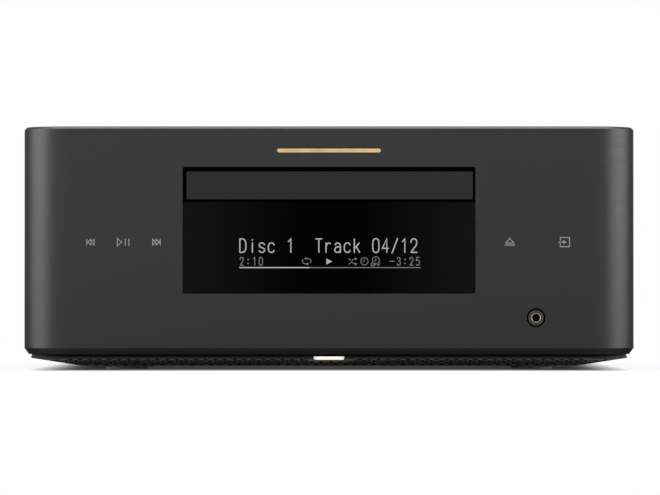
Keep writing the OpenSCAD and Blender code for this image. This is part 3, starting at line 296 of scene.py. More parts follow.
def litSurface(tree, look):  # glowing face broken up by a fine raster
    glow = addNode(tree, "TexBrick", {
        "Vector": surfaceCoords(tree, look["raster"], (math.pi / 2, 0, 0)), "Scale": 1.0,
        "Mortar Size": look["seam"], "Brick Width": 1.0, "Row Height": 1.0, "Color1": look["glow"],
        "Color2": lighten(look["glow"], litGrain["flicker"]),
        "Mortar": lighten(look["glow"], look["seamLevel"])}, offset=0.0).outputs["Color"]
    if "ends" in look:  # weaker past the lamp behind it
        glow = tint(spread(sums("ABSOLUTE", axesOf(tree)["X"]), 0, 1, *look["ends"]), glow, look["endGlow"])
    haze = speckle(tree, litGrain["haze"])
    return {"Emission Color": glow, "Emission Strength": look["level"],
            "Base Color": tint(haze, look["color"], lighten(look["color"], litGrain["hazeTone"])),
            "Roughness": spread(haze, *litGrain["roughness"]), "Specular IOR Level": litGrain["shine"]}


# one look per finish of the receiver; relief and edge are in millimetres
# the rise paints light and shade on the panel and cabinet: lighter towards the top and to the left
satinLook = {"color": (0.041, 0.041, 0.042), "contrast": 0.18, "metallic": 1.0, "roughness": (0.38, 0.48),
             "rim": 0.4, "paintedLightRise": (-0.04, 0.155, 0.8, 0.3), "lines": (5, 5, 2400), "relief": 0.006,
             "edge": 0.3, "wear": 0.3, "bare": grey(0.1)}
# the panel's lighter colour for upward faces is a painted highlight on the top chamfer
panelLook = {**satinLook, "upHighlight": (0.066, 0.066, 0.067)}
doorLook = {"color": (0.0205, 0.0205, 0.021), "contrast": 0.06, "metallic": 0.8, "roughness": (0.36, 0.46),
            "lines": (5, 5, 2400), "relief": 0.006, "edge": 0.25, "wear": 0.3, "bare": grey(0.1)}
finLook = {"color": (0.03, 0.031, 0.033), "contrast": 0.15, "metallic": 0.9, "roughness": (0.35, 0.5),
           "lines": (900, 6, 900), "relief": 0.01, "edge": 0.2, "wear": 0.6, "bare": (0.3, 0.3, 0.31)}
canLook = {"color": (0.52, 0.53, 0.54), "contrast": 0.1, "metallic": 1.0, "roughness": (0.22, 0.36),
           "lines": (30, 30, 1600), "relief": 0.008, "edge": 0.3, "wear": 0.3, "bare": grey(0.75)}
tinLook = {"color": (0.56, 0.57, 0.58), "contrast": 0.08, "metallic": 1.0, "roughness": (0.24, 0.4),
           "lines": (1200, 1200, 8), "relief": 0.008, "edge": 0.2, "wear": 0.4, "bare": grey(0.8)}
screwLook = {"color": (0.02, 0.02, 0.021), "contrast": 0.25, "metallic": 0.9, "roughness": (0.3, 0.5),
             "lines": 700, "relief": 0.01, "edge": 0.15, "wear": 0.7, "bare": (0.25, 0.25, 0.24)}
rearLook = {"color": (0.017, 0.017, 0.018), "grain": 1100, "metallic": 0.0, "shine": 0.4,
            "roughness": (0.5, 0.68), "relief": 0.03, "edge": 0.25, "wear": 0.35, "bare": grey(0.2)}
# under-tray: the pale grey sheet is painted light under the case; above the rim foot the darker rim and the
# near-black band in the gap are painted shade
panLook = {"color": (0.18, 0.18, 0.182), "grain": 1800, "metallic": 0.3, "shine": 0.05,
           "paintedShadeBands": ((0.0047, 0.0054, grey(0.011)), (0.0059, 0.0063, grey(0.0015))),
           "roughness": (0.4, 0.55), "relief": 0.02, "edge": 0.12, "wear": 0.25, "bare": grey(0.09)}
topLook = {"color": (0.0045, 0.0045, 0.005), "pale": (0.006, 0.006, 0.0066), "paleFrom": (0.06, 0.14),
           "roughness": (0.47, 0.49), "shine": 0.03, "relief": 0.002, "edge": 0.4}
# the window's paler ends are a painted reflection
windowLook = {"color": grey(0.0004), "pale": (0.0047, 0.0047, 0.0049), "paleFrom": (0.016, 0.066),
              "roughness": (0.06, 0.12), "shine": 0.008, "relief": 0.006, "edge": 0.2}
zincLook = {"color": (0.5, 0.51, 0.52), "dull": 0.82, "flakes": 150, "scuff": (30, 900, 900),
            "roughness": (0.3, 0.46), "relief": 0.02, "bump": 0.4, "softEdge": 0.25,
            "edge": 0.3, "wear": 0.4, "bare": grey(0.8)}
greenLook = {"color": (0.012, 0.075, 0.03), "track": (0.03, 0.15, 0.06), "pad": (0.62, 0.6, 0.52)}
tanLook = {"color": (0.3, 0.18, 0.07), "track": (0.2, 0.11, 0.04), "pad": (0.6, 0.58, 0.5)}
windingLook = {"color": (0.6, 0.42, 0.04), "second": (0.48, 0.33, 0.03), "along": "Z", "bands": 160,
               "roughness": (0.3, 0.5), "relief": 0.1, "edge": 0.4}
sleeveLook = {"color": (0.012, 0.03, 0.075), "second": (0.02, 0.045, 0.1), "along": "Z", "bands": 22,
              "roughness": (0.25, 0.4), "relief": 0.02, "edge": 0.5}
ribbonLook = {"color": (0.72, 0.71, 0.65), "second": (0.45, 0.45, 0.43), "along": "X", "bands": 320,
              "roughness": (0.4, 0.6), "relief": 0.05, "edge": 0.1}
nickelLook = {"color": (0.6, 0.59, 0.57), "lines": (900, 60, 900), "roughness": (0.16, 0.3),
              "relief": 0.006, "edge": 0.15}
goldLook = {"color": (0.78, 0.57, 0.27), "lines": (40, 900, 1800), "roughness": (0.2, 0.32),
            "relief": 0.006, "edge": 0.12}
brassLook = {"color": (0.68, 0.5, 0.2), "lines": (700, 700, 60), "roughness": (0.2, 0.36),
             "relief": 0.006, "edge": 0.12}
ferruleLook = {"color": (0.40, 0.345, 0.27), "lines": 300, "roughness": (0.25, 0.4),
               "relief": 0.004, "edge": 0.05}
ringLook = {**ferruleLook, "color": (0.10, 0.092, 0.078), "roughness": (0.3, 0.45)}
lightLook = {"glow": (1.0, 0.94, 0.86), "level": 0.95, "color": (0.08, 0.078, 0.074), "raster": 900,
             "seam": 0.02, "seamLevel": 0.97, "ends": (0.0052, 0.0066), "endGlow": (0.72, 0.64, 0.56)}
displayLook = {"glow": grey(1.0), "level": 0.42, "color": grey(0.02), "raster": 5200, "seam": 0.06,
               "seamLevel": 0.75}
dimLook = {**displayLook, "level": 0.185}

# plastics and rubbers say only what differs from the plain moulding
mouldingLook = {"color": grey(0.011)}
loaderLook = {"color": (0.026, 0.026, 0.028), "grain": 1100}
beltLook = {"color": grey(0.018), "grain": 900, "roughness": (0.6, 0.75), "shine": 0.2}
# the feet's light grey is painted light, standing in for light that barely reaches under the case
footLook = {"color": grey(0.38), "grain": 900, "roughness": (0.7, 0.85), "shine": 0.2, "relief": 0.05}
trayLook = {"color": (0.022, 0.022, 0.023), "grain": 1900, "roughness": (0.4, 0.52)}
acetalLook = {"color": (0.72, 0.71, 0.67), "grain": 700, "roughness": (0.35, 0.45), "shine": 0.5,
              "relief": 0.01}
lensLook = {"color": (0.18, 0.3, 0.42), "grain": 500, "roughness": (0.08, 0.16), "shine": 0.6,
            "relief": 0.004}
blackCapLook = {"color": grey(0.012), "grain": 1200, "roughness": (0.25, 0.38), "shine": 0.5, "relief": 0.01}
redCapLook = {**blackCapLook, "color": (0.34, 0.012, 0.012)}
markLook = {"color": grey(0.22), "grain": 2600, "roughness": (0.5, 0.65), "shine": 0.2, "relief": 0.004,
            "edge": 0.05, "wear": 0.0}
# hole walls: a mid-dark grey that paints the shade inside the punched holes
holeWallShadeLook = {"color": grey(0.05), "grain": 2400, "roughness": (0.6, 0.75), "shine": 0.1, "relief": 0.01,
             "edge": 0.05, "wear": 0.0}
# near-black felt: the jack's gasket, and painted shade in the gap round the door
feltGapShadeLook = {"color": grey(0.0015), "grain": 3000, "roughness": (0.75, 0.9), "shine": 0.02, "edge": 0.1,
            "wear": 0.0}

finishRows = {
    "anodised_grey": ("anodisedPanel", brushedMetal, panelLook),
    "door_grey": ("doorSatin", brushedMetal, doorLook),
    "black_aluminium": ("finnedAluminium", brushedMetal, finLook),
    "motor_can": ("drawnMotorCan", brushedMetal, canLook),
    "tin_shield": ("tinnedShield", brushedMetal, tinLook),
    "black_screw": ("blackScrew", brushedMetal, screwLook),
    "case_grey": ("cabinetSatin", brushedMetal, satinLook),
    "painted_steel": ("rearPanelPaint", paintedSheet, rearLook),
    "dark_steel": ("underTraySheet", paintedSheet, panLook),
    "gloss_black": ("topPlateGloss", polishedSheet, topLook),
    "smoked_acrylic": ("smokedWindow", polishedSheet, windowLook),
    "zinc_steel": ("zincSheet", spangledZinc, zincLook),
    "green_board": ("greenBoard", circuitBoard, greenLook),
    "tan_board": ("tanBoard", circuitBoard, tanLook),
    "transformer_yellow": ("tapedWinding", bandedPiece, windingLook),
    "capacitor_sleeve": ("capacitorSleeve", bandedPiece, sleeveLook),
    "ribbon_white": ("flatCable", bandedPiece, ribbonLook),
    "plated_metal": ("nickelPlate", platedMetal, nickelLook),
    "gold_trim": ("goldPlate", platedMetal, goldLook),
    "brass_parts": ("turnedBrass", platedMetal, brassLook),
    "lit_lens": ("litDiffuser", litSurface, lightLook),
    "rubber": ("beltRubber", mouldedPlastic, beltLook),
    "black_plastic": ("blackMoulding", mouldedPlastic, mouldingLook),
    "loader_plastic": ("loaderMoulding", mouldedPlastic, loaderLook),
    "tray_plastic": ("trayMoulding", mouldedPlastic, trayLook),
    "white_plastic": ("whiteAcetal", mouldedPlastic, acetalLook),
    "lens_plastic": ("lensHolder", mouldedPlastic, lensLook),
    "cap_black": ("capBlack", mouldedPlastic, blackCapLook),
    "cap_red": ("capRed", mouldedPlastic, redCapLook),
}
finishes = {slotName: makeFinish(*row) for slotName, row in finishRows.items()}
displayGlow = makeFinish("displayGlow", litSurface, displayLook)
displayDim = makeFinish("displayDim", litSurface, dimLook)
footRubber = makeFinish("footRubber", mouldedPlastic, footLook)
markPrint = makeFinish("markPrint", mouldedPlastic, markLook)
blackFeltGapShade = makeFinish("blackFeltGapShade", mouldedPlastic, feltGapShadeLook)
holeWallShade = makeFinish("holeWallShade", mouldedPlastic, holeWallShadeLook)
ferruleMetal = makeFinish("warmFerrule", platedMetal, ferruleLook)
ringMetal = makeFinish("darkRing", platedMetal, ringLook)
for subpart in frame["record"]["subparts"]:
    nodes[subpart["node"]].material_slots[0].material = finishes[subpart["material_slot"]]
nodes["display_holder"].material_slots[0].material = blackFeltGapShade  # near-black felt in place of its own finish: painted shade in the gap round the door
print("finishes:", len(finishes), "slots dressed")


# mesh helpers
def meshFrom(name, shape):
    bmesh.ops.recalc_face_normals(shape, faces=shape.faces)
    mesh = bpy.data.meshes.new(name)
    shape.to_mesh(mesh)
    shape.free()
    return mesh


def addPiece(name, shape, finish, body="case"):
    piece = bpy.data.objects.new(name, meshFrom(name, shape))
    piece.data.materials.append(finish)
    scene.collection.objects.link(piece)
    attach(piece, body)
    return piece


def faceFront(depth):  # place of a point u across, v up and out in front of y = depth, in millimetres
    return lambda u, v, out: Vector((u, depth - out, v)) * mm


def faceRear(depth):  # the same, seen from behind
    return lambda u, v, out: Vector((-u, depth + out, v)) * mm


def faceTop(height):  # the same, seen from above
    return lambda u, v, out: Vector((u, v, height + out)) * mm


def arcPoints(middle, radii, start, end, steps):  # from start to end in degrees
    turns = [math.radians(start + (end - start) * k / steps) for k in range(steps + 1)]
    return [(middle[0] + radii[0] * math.cos(a), middle[1] + radii[1] * math.sin(a)) for a in turns]


def circlePoints(middle, radius, steps=20):
    return arcPoints(middle, (radius, radius), 0, 360, steps)[:-1]


def bridge(shape, ring, after, smooth=False):  # skin between two closed rings of points
    for k in range(len(ring)):
        n = (k + 1) % len(ring)
        shape.faces.new((ring[k], ring[n], after[n], after[k])).smooth = smooth


def plate(shape, points, place, thick):  # filled flat outline
    low, high = ([shape.verts.new(place(u, v, out)) for u, v in points] for out in (0.0, thick))
    shape.faces.new(low)
    shape.faces.new(high)
    bridge(shape, low, high)


def turnedShape(shape, profile, middle, place, steps):  # profile of (radius, out) turned about middle
    rings = [[shape.verts.new(place(u, v, out)) for u, v in circlePoints(middle, radius, steps)]
             for radius, out in profile]
    for ring, after in zip(rings, rings[1:] + rings[:1]):
        bridge(shape, ring, after, True)


def addBlock(shape, low, high):  # plain block between two corners, in metres
    for vert in bmesh.ops.create_cube(shape, size=1.0)["verts"]:
        vert.co = [low[i] + (vert.co[i] + 0.5) * (high[i] - low[i]) for i in range(3)]


def easedBlock(low, high, radius):  # block with rounded edges
    shape = bmesh.new()
    addBlock(shape, low, high)
    bmesh.ops.bevel(shape, geom=shape.edges[:], offset=radius, segments=3, profile=0.5, affect="EDGES")
    for face in shape.faces:
        face.smooth = True
    return shape


def curved(points, closed, steps=3):  # smooth line through the points
    count = len(points)
    result = []
    for i in range(count if closed else count - 1):
        near = [k % count if closed else min(max(k, 0), count - 1) for k in range(i - 1, i + 3)]
        a, b, c, d = (Vector(points[k]) for k in near)
        for t in (step / steps for step in range(steps)):
            result.append(0.5 * (2 * b + (c - a) * t + (2 * a - 5 * b + 4 * c - d) * t ** 2
                                 + (3 * b - a - 3 * c + d) * t ** 3))
    return result if closed else result + [points[-1]]


# pen: sharpest keeps a tight corner from running out to a spike
penShape = {"sharpest": 0.45, "endSteps": 6, "dotSteps": 8}


def roundEnd(centre, start):  # half circle from start round the far side
    arm = start - centre
    turns = [math.pi * k / penShape["endSteps"] for k in range(1, penShape["endSteps"])]
    return [centre + arm * math.cos(a) + Vector((arm.y, -arm.x)) * math.sin(a) for a in turns]


def stroke(shape, points, pen, place, ink, closed=False):  # one pen stroke with round ends
    flat = [Vector(point) for point in points]
    count = len(flat)
    left, right = [], []
    for i, here in enumerate(flat):
        runs = [here - flat[i - 1]] if closed or i else []
        runs += [flat[(i + 1) % count] - here] if closed or i < count - 1 else []
        runs = [run.normalized() for run in runs]
        middle = sum(runs, Vector((0, 0))).normalized()
        lean = max(penShape["sharpest"], middle.dot(runs[0]))
        across = Vector((-middle.y, middle.x)) * (pen / 2 / lean)
        left.append(here + across)
        right.append(here - across)
    tail = [] if closed else roundEnd(flat[-1], left[-1])
    head = [] if closed else roundEnd(flat[0], right[0])
    rims = []
    for out in (0.0, ink):
        one, two, end, start = ([shape.verts.new(place(p.x, p.y, out)) for p in side]
                                for side in (left, right, tail, head))
        for i in range(count if closed else count - 1):
            n = (i + 1) % count
            shape.faces.new((one[i], one[n], two[n], two[i]))
        if not closed:
            shape.faces.new([one[-1], *end, two[-1]])
            shape.faces.new([two[0], *start, one[0]])
        rims.append([one, two] if closed else [one + end + two[::-1] + start])
    for low, high in zip(*rims):
        bridge(shape, low, high)


def drawStrokes(shape, strokes, origin, scale, pen, place, ink):  # the kind says how the points are joined
    for kind, points in strokes:
        spots = [(origin[0] + u * scale[0], origin[1] + v * scale[1]) for u, v in points]
        closed = kind in ("loop", "ring")
        if kind == "dot":
            plate(shape, circlePoints(spots[0], pen, penShape["dotSteps"]), place, ink)
        elif kind == "fill":
            plate(shape, spots, place, ink)
        elif kind in ("curve", "loop"):
            stroke(shape, curved(spots, closed), pen, place, ink, closed)
        else:
            stroke(shape, spots, pen, place, ink, closed)


# under-tray: thin dish with a plain rim, small diamond holes punched through its slopes
footSpots = ((-94, -105.5), (94, -105.5), (-94, 84.5), (94, 84.5))
panShape = {"halfWidth": 140.0, "front": -151.5, "rear": 130.5, "cornerFront": 22.0, "cornerRear": 4.0,
            "cornerLeast": 0.5, "cornerSteps": 10, "inset": 3.05, "run": 23.0, "rimTop": 6.25, "rimFoot": 5.3,
            "foot": 1.6, "sheet": 1.0, "lining": 0.66, "skirtIn": 0.3, "skirtTop": 7.05, "sliver": 0.0005,
            "holeHalf": (1.75, 3.4), "holePitch": 4.4, "rowPitch": 4.2, "margin": 1.5, "footMargin": 0.5,
            "punch": (1.0, 8.0), "barNotch": ((-7.3, -150.5, 1.0), (7.3, -142.05, 6.2)), "barGap": 0.6,
            "holeSlack": 0.01, "cutSlack": 0.1, "cutLean": 0.6,
            "bossRadius": 9.0, "bossFoot": 2.1, "bossTop": 7.1, "bossSteps": 32}


def panOutline(inset):
    pan = panShape
    loop = []
    for sideX, sideY, start in ((-1, -1, 180), (1, -1, 270), (1, 1, 0), (-1, 1, 90)):
        corner = pan["cornerFront"] if sideY < 0 else pan["cornerRear"]
        radius = max(corner - inset, pan["cornerLeast"])
        x = sideX * (pan["halfWidth"] - inset - radius)
        y = pan["front"] + inset + radius if sideY < 0 else pan["rear"] - inset - radius
        loop += arcPoints((x, y), (radius, radius), start, start + 90, pan["cornerSteps"])
    return loop


def panDepth(x, y):  # how far a point lies inside the outline of the case
    pan = panShape
    dx = abs(x) - (pan["halfWidth"] - pan["cornerFront"])
    dy = pan["front"] + pan["cornerFront"] - y
    if dx > 0 and dy > 0:
        return pan["cornerFront"] - math.hypot(dx, dy)
    return min(pan["halfWidth"] - abs(x), y - pan["front"], pan["rear"] - y)


def makeDish():
    pan, sheet = panShape, panShape["sheet"]
    deep = pan["inset"] + pan["run"]
    skirt = pan["inset"] + pan["skirtIn"]  # the rim stands back here and leaves a shadow gap under the case
    levels = [(skirt + sheet, pan["skirtTop"]), (skirt, pan["skirtTop"]), (skirt, pan["rimTop"]),
              (pan["inset"], pan["rimTop"]), (pan["inset"], pan["rimFoot"]), (deep, pan["foot"]),
              (deep + sheet, pan["foot"] + sheet), (skirt + sheet, pan["rimFoot"] + sheet * pan["lining"])]
    shape = bmesh.new()
    loops = [[shape.verts.new(Vector((x, y, z)) * mm) for x, y in panOutline(inset)] for inset, z in levels]
    under, floor = loops[5], loops[6]
    for ring, after in zip(loops, loops[1:] + loops[:1]):
        if ring is not under:
            bridge(shape, ring, after)
    shape.faces.new(under)
    shape.faces.new(floor)
    return shape


def makePunches():
    pan = panShape
    low, high = pan["barNotch"]
    halfWide, halfLong = pan["holeHalf"]
    bottom, top = pan["punch"]
    nearest = pan["inset"] + pan["margin"] + halfLong
    deepest = pan["inset"] + pan["run"] - pan["footMargin"] - halfLong
    clearX, clearY = high[0] + halfWide + pan["barGap"], high[1] + halfLong + pan["barGap"]
    shape = bmesh.new()
    holes, row = 0, 0
    y = pan["front"] + nearest
    while y < pan["rear"]:
        x = -pan["halfWidth"] + (pan["holePitch"] / 2 if row % 2 else 0)
        while x < pan["halfWidth"]:
            clearOfBar = abs(x) > clearX or y > clearY
            if nearest - pan["holeSlack"] <= panDepth(x, y) <= deepest and clearOfBar:
                diamond = [(x + halfWide, y), (x, y + halfLong), (x - halfWide, y), (x, y - halfLong)]
                plate(shape, diamond, faceTop(bottom), top - bottom)
                holes += 1
            x += pan["holePitch"]
        y += pan["rowPitch"]
        row += 1
    addBlock(shape, Vector(low) * mm, Vector(high) * mm)
    return shape, holes


def makeUnderTray():
    sizes = panShape
    punches, holes = makePunches()
    blanks = []
    for name, shape in (("dishBlank", makeDish()), ("punch", punches)):
        blanks.append(bpy.data.objects.new(name, meshFrom(name, shape)))
        scene.collection.objects.link(blanks[-1])
    dish, tool = blanks
    cut = dish.modifiers.new("punched", "BOOLEAN")
    cut.operation = "DIFFERENCE"
    cut.solver = "MANIFOLD"
    cut.object = tool
    bpy.context.view_layer.update()
    done = bpy.data.meshes.new_from_object(dish.evaluated_get(bpy.context.evaluated_depsgraph_get()))
    for item in blanks:
        bpy.data.objects.remove(item)
    shape = bmesh.new()
    shape.from_mesh(done)
    bmesh.ops.triangulate(shape, faces=shape.faces[:])
    bmesh.ops.dissolve_degenerate(shape, dist=sizes["sliver"] * mm, edges=shape.edges[:])
    for spot in footSpots:
        boss = circlePoints(spot, sizes["bossRadius"], sizes["bossSteps"])
        plate(shape, boss, faceTop(sizes["bossFoot"]), sizes["bossTop"] - sizes["bossFoot"])
    pan = addPiece("perforatedUnderTray", shape, finishes["dark_steel"])
    pan.data.materials.append(holeWallShade)
    for face in pan.data.polygons:  # the cut edges of the holes get a darker grey: painted shade inside the holes
        spot = face.center / mm
        within = panDepth(spot.x, spot.y) > sizes["inset"] + sizes["margin"] - sizes["cutSlack"]
        if within and abs(face.normal.z) < sizes["cutLean"] and spot.z < sizes["rimTop"]:
            face.material_index = 1
    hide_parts("under_tray")
    print("under-tray punched:", holes, "holes,", len(pan.data.polygons), "faces")


makeUnderTray()

# tray door: slim slab with eased edges
doorShape = {"ease": 0.3}
doorSlab = easedBlock(*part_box("tray_door"), doorShape["ease"] * mm)
door = addPiece("trayDoorSlab", doorSlab, finishes["door_grey"], "tray")
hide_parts("tray_door")
print("tray door made")

# badge: plain gold bar with round ends, let into the panel
badgeShape = {"ease": 0.25, "endSteps": 8}


def makeBadge():
    low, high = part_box("badge_bar")
    half = (high.z - low.z) / 2
    middle = (high.z + low.z) / 2
    ease, steps = badgeShape["ease"] * mm, badgeShape["endSteps"]
    shape = bmesh.new()
    rings = []
    for inset, y in ((0.0, high.y), (0.0, low.y + ease), (ease, low.y)):
        radii = (half - inset,) * 2
        outline = arcPoints((high.x - half, middle), radii, -90, 90, steps)
        outline += arcPoints((low.x + half, middle), radii, 90, 270, steps)
        rings.append([shape.verts.new((x, y, z)) for x, z in outline])
    for ring, after in zip(rings, rings[1:]):
        bridge(shape, ring, after)
    shape.faces.new(rings[0])
    shape.faces.new(rings[-1])
    badge = addPiece("goldBadgeBar", shape, finishes["gold_trim"])
    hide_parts("badge_bar")


makeBadge()
print("badge bar made")

# tray slot: black lining round the door, and felt lips round the tray behind it; their near-black felt paints
# the shade in the gap round the door
slotShape = {"half": 66.73, "top": 92.48, "bottom": 76.45, "sheet": 0.18, "front": -151.42, "back": -147.0,
             "lipFront": -143.45, "lipBack": -142.95, "lipHalf": 63.1, "sideFrom": 63.15, "sideTo": 66.9,
             "lowLip": (76.2, 80.5), "highLip": (86.7, 91.4),
             "rackNotch": (-60.2, -54.3, 77.2), "edgeNotch": (65.3, 80.6, 83.9)}


def makeSlotLining():
    slot = slotShape
    shape = bmesh.new()
    half, top, bottom = slot["half"], slot["top"], slot["bottom"]
    inHalf, inTop = half - slot["sheet"], top - slot["sheet"]
    lining = [(-half, bottom), (-half, top), (half, top), (half, bottom),
              (inHalf, bottom), (inHalf, inTop), (-inHalf, inTop), (-inHalf, bottom)]
    plate(shape, lining, faceFront(slot["back"]), slot["back"] - slot["front"])

    def lip(points):
        plate(shape, points, faceFront(slot["lipBack"]), slot["lipBack"] - slot["lipFront"])

    reach, (low, lowTop), (highFoot, high) = slot["lipHalf"], slot["lowLip"], slot["highLip"]
    lip([(-reach, highFoot), (reach, highFoot), (reach, high), (-reach, high)])
    left, right, foot = slot["rackNotch"]  # the tray's rack runs through here
    lip([(-reach, low), (reach, low), (reach, lowTop), (right, lowTop), (right, foot), (left, foot),
         (left, lowTop), (-reach, lowTop)])
    edge, edgeFoot, edgeTop = slot["edgeNotch"]  # and the tray's guide edges here
    near, far = slot["sideFrom"], slot["sideTo"]
    upright = ((near, low), (far, low), (far, high), (near, high), (near, edgeTop), (edge, edgeTop),
               (edge, edgeFoot), (near, edgeFoot))
    for side in (-1, 1):
        lip([(side * u, v) for u, v in upright])
    addPiece("slotLining", shape, blackFeltGapShade)


makeSlotLining()
print("slot lined")

# headphone jack: rounded metal ferrule, dark inner ring and black gasket, as (radius, height over the panel)
jackShape = {"face": -151.5, "steps": 48,
             "jackFerrule": [(1.72, -12.5), (1.72, -1.2), (1.84, -0.85), (2.02, -0.7), (2.15, -0.7),
                             (2.32, -0.8), (2.4, -1.05), (2.4, -12.5)],
             "jackInnerRing": [(2.43, -2.0), (2.43, -1.1), (2.65, -0.85), (3.35, -0.8), (3.5, -0.95),
                               (3.5, -2.0)],
             "jackGasket": [(3.52, -2.0), (3.52, -0.75), (3.75, -0.5), (4.1, -0.3), (4.3, -0.4), (4.3, -2.0)]}


def turnJackPiece(name, finish):
    low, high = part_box("jack_sleeve")
    middle = ((low.x + high.x) / 2 / mm, (low.z + high.z) / 2 / mm)
    shape = bmesh.new()
    turnedShape(shape, jackShape[name], middle, faceFront(jackShape["face"]), jackShape["steps"])
    return addPiece(name, shape, finish)


ferrule = turnJackPiece("jackFerrule", ferruleMetal)
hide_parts("jack_sleeve")
turnJackPiece("jackInnerRing", ringMetal)
turnJackPiece("jackGasket", blackFeltGapShade)
print("jack rings turned")

# light bar: low lit lens under the front edge, its ends drawn in towards the foot
lightShape = {"low": (-7.05, -148.75, 4.6), "high": (7.05, -142.5, 6.05), "footHalf": 6.8, "ease": 0.3}


def makeLightBar():
    low, high = (Vector(lightShape[corner]) * mm for corner in ("low", "high"))
    shape = easedBlock(low, high, lightShape["ease"] * mm)
    drawnIn = 1 - lightShape["footHalf"] * mm / high.x
    for vert in shape.verts:
        vert.co.x *= 1 - drawnIn * (high.z - vert.co.z) / (high.z - low.z)
    bar = addPiece("lightBarLens", shape, finishes["lit_lens"])
    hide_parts("light_bar")


makeLightBar()
print("light bar made")

# rubber feet: turned, with a grip groove, a soft edge and a flange, as (radius, height)
feetShape = {"steps": 48, "pad": 9.5, "round": 0.4, "roundSteps": 3,
             "groove": [(3.55, 1.6), (3.55, 0.3), (3.85, 0.0), (5.3, 0.0), (5.6, 0.35), (7.2, 0.35),
                        (7.5, 0.0)],
             "flange": [(9.5, 1.2), (12.9, 1.2), (13.0, 1.3), (13.0, 1.6)]}


def makeFeet():
    soft = feetShape["round"]
    edge = arcPoints((feetShape["pad"] - soft, soft), (soft, soft), -90, 0, feetShape["roundSteps"])
    profile = feetShape["groove"] + edge + feetShape["flange"]
    shape = bmesh.new()
    for spot in footSpots:
        turnedShape(shape, profile, spot, faceTop(0.0), feetShape["steps"])
    feet = addPiece("rubberFeet", shape, footRubber)
    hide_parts("feet")


makeFeet()
print("feet turned")

# pen strokes for letters and figures, drawn in a cell 1 wide and 1 high
letterStrokes = {
    "D": [("line", [(0, 0), (0, 1)]),
          ("curve", [(0, 1), (0.45, 1), (0.78, 0.93), (0.96, 0.75), (1, 0.5), (0.96, 0.25), (0.78, 0.07),
                     (0.45, 0), (0, 0)])],
    "i": [("line", [(0.5, 0), (0.5, 0.7)]), ("line", [(0.5, 0.92), (0.5, 0.95)])],
    "s": [("curve", [(0.92, 0.58), (0.7, 0.69), (0.3, 0.69), (0.06, 0.56), (0.22, 0.4), (0.78, 0.3),
                     (0.95, 0.15), (0.7, 0.01), (0.3, 0.01), (0.05, 0.12)])],
    "c": [("curve", [(0.95, 0.56), (0.75, 0.68), (0.5, 0.7), (0.2, 0.66), (0.02, 0.5), (0, 0.35), (0.02, 0.2),
                     (0.2, 0.04), (0.5, 0), (0.75, 0.02), (0.95, 0.14)])],
    "T": [("line", [(0, 1), (1, 1)]), ("line", [(0.5, 1), (0.5, 0)])],
    "r": [("line", [(0.12, 0), (0.12, 0.7)]),
          ("curve", [(0.12, 0.44), (0.32, 0.62), (0.58, 0.7), (0.85, 0.66)])],
    "a": [("curve", [(0.06, 0.56), (0.25, 0.68), (0.6, 0.69), (0.88, 0.58), (0.92, 0.42), (0.92, 0.2),
                     (0.92, 0)]),
          ("curve", [(0.92, 0.41), (0.5, 0.41), (0.15, 0.34), (0, 0.19), (0.12, 0.04), (0.42, 0),
                     (0.75, 0.06), (0.92, 0.2)])],
    "k": [("line", [(0.08, 0), (0.08, 1)]), ("line", [(0.88, 0.7), (0.08, 0.26)]),
          ("line", [(0.4, 0.44), (0.95, 0)])],
    "0": [("loop", [(0, 0.3), (0, 0.7), (0.1, 0.9), (0.32, 1), (0.68, 1), (0.9, 0.9), (1, 0.7), (1, 0.3),
                    (0.9, 0.1), (0.68, 0), (0.32, 0), (0.1, 0.1)])],
    "1": [("line", [(0.18, 0.8), (0.58, 1), (0.58, 0)])],
    "2": [("curve", [(0.02, 0.74), (0.12, 0.92), (0.36, 1), (0.66, 1), (0.92, 0.88), (0.97, 0.7),
                     (0.82, 0.48), (0.4, 0.24), (0.04, 0)]), ("line", [(0.04, 0), (1, 0)])],
    "3": [("curve", [(0.03, 0.84), (0.2, 0.97), (0.55, 1), (0.88, 0.9), (0.94, 0.72), (0.8, 0.57),
                     (0.45, 0.53)]),
          ("curve", [(0.45, 0.53), (0.85, 0.48), (1, 0.28), (0.88, 0.08), (0.52, 0), (0.2, 0.03),
                     (0, 0.16)])],
    "4": [("line", [(0.74, 0), (0.74, 1), (0, 0.3), (1, 0.3)])],
    "5": [("line", [(0.92, 1), (0.12, 1), (0.06, 0.55)]),
          ("curve", [(0.06, 0.55), (0.3, 0.64), (0.62, 0.64), (0.92, 0.5), (1, 0.3), (0.88, 0.08), (0.55, 0),
                     (0.25, 0.01), (0.02, 0.12)])],
    "/": [("line", [(0.05, -0.04), (0.95, 1.04)])],
    ":": [("dot", [(0.5, 0.23)]), ("dot", [(0.5, 0.73)])],
    "-": [("line", [(0.12, 0.5), (0.88, 0.5)])],
    "+": [("line", [(0.08, 0.5), (0.92, 0.5)]), ("line", [(0.5, 0.2), (0.5, 0.8)])],
    "F": [("line", [(0.1, 0), (0.1, 1), (0.9, 1)]), ("line", [(0.1, 0.52), (0.75, 0.52)])],
    "L": [("line", [(0.08, 1), (0.08, 0), (0.9, 0)])],
    "R": [("line", [(0.06, 0), (0.06, 1)]), ("line", [(0.5, 0.5), (0.95, 0)]),
          ("curve", [(0.06, 1), (0.55, 1), (0.9, 0.9), (0.95, 0.75), (0.88, 0.58), (0.5, 0.5), (0.06, 0.5)])],
}


def writeLine(shape, line, place, ink):
    cell, wide, high = line["size"]
    for index, letter in enumerate(line["words"]):
        corner = (line["start"] + index * cell, line["base"])
        drawStrokes(shape, letterStrokes.get(letter, ()), corner, (wide, high), line["pen"], place, ink)


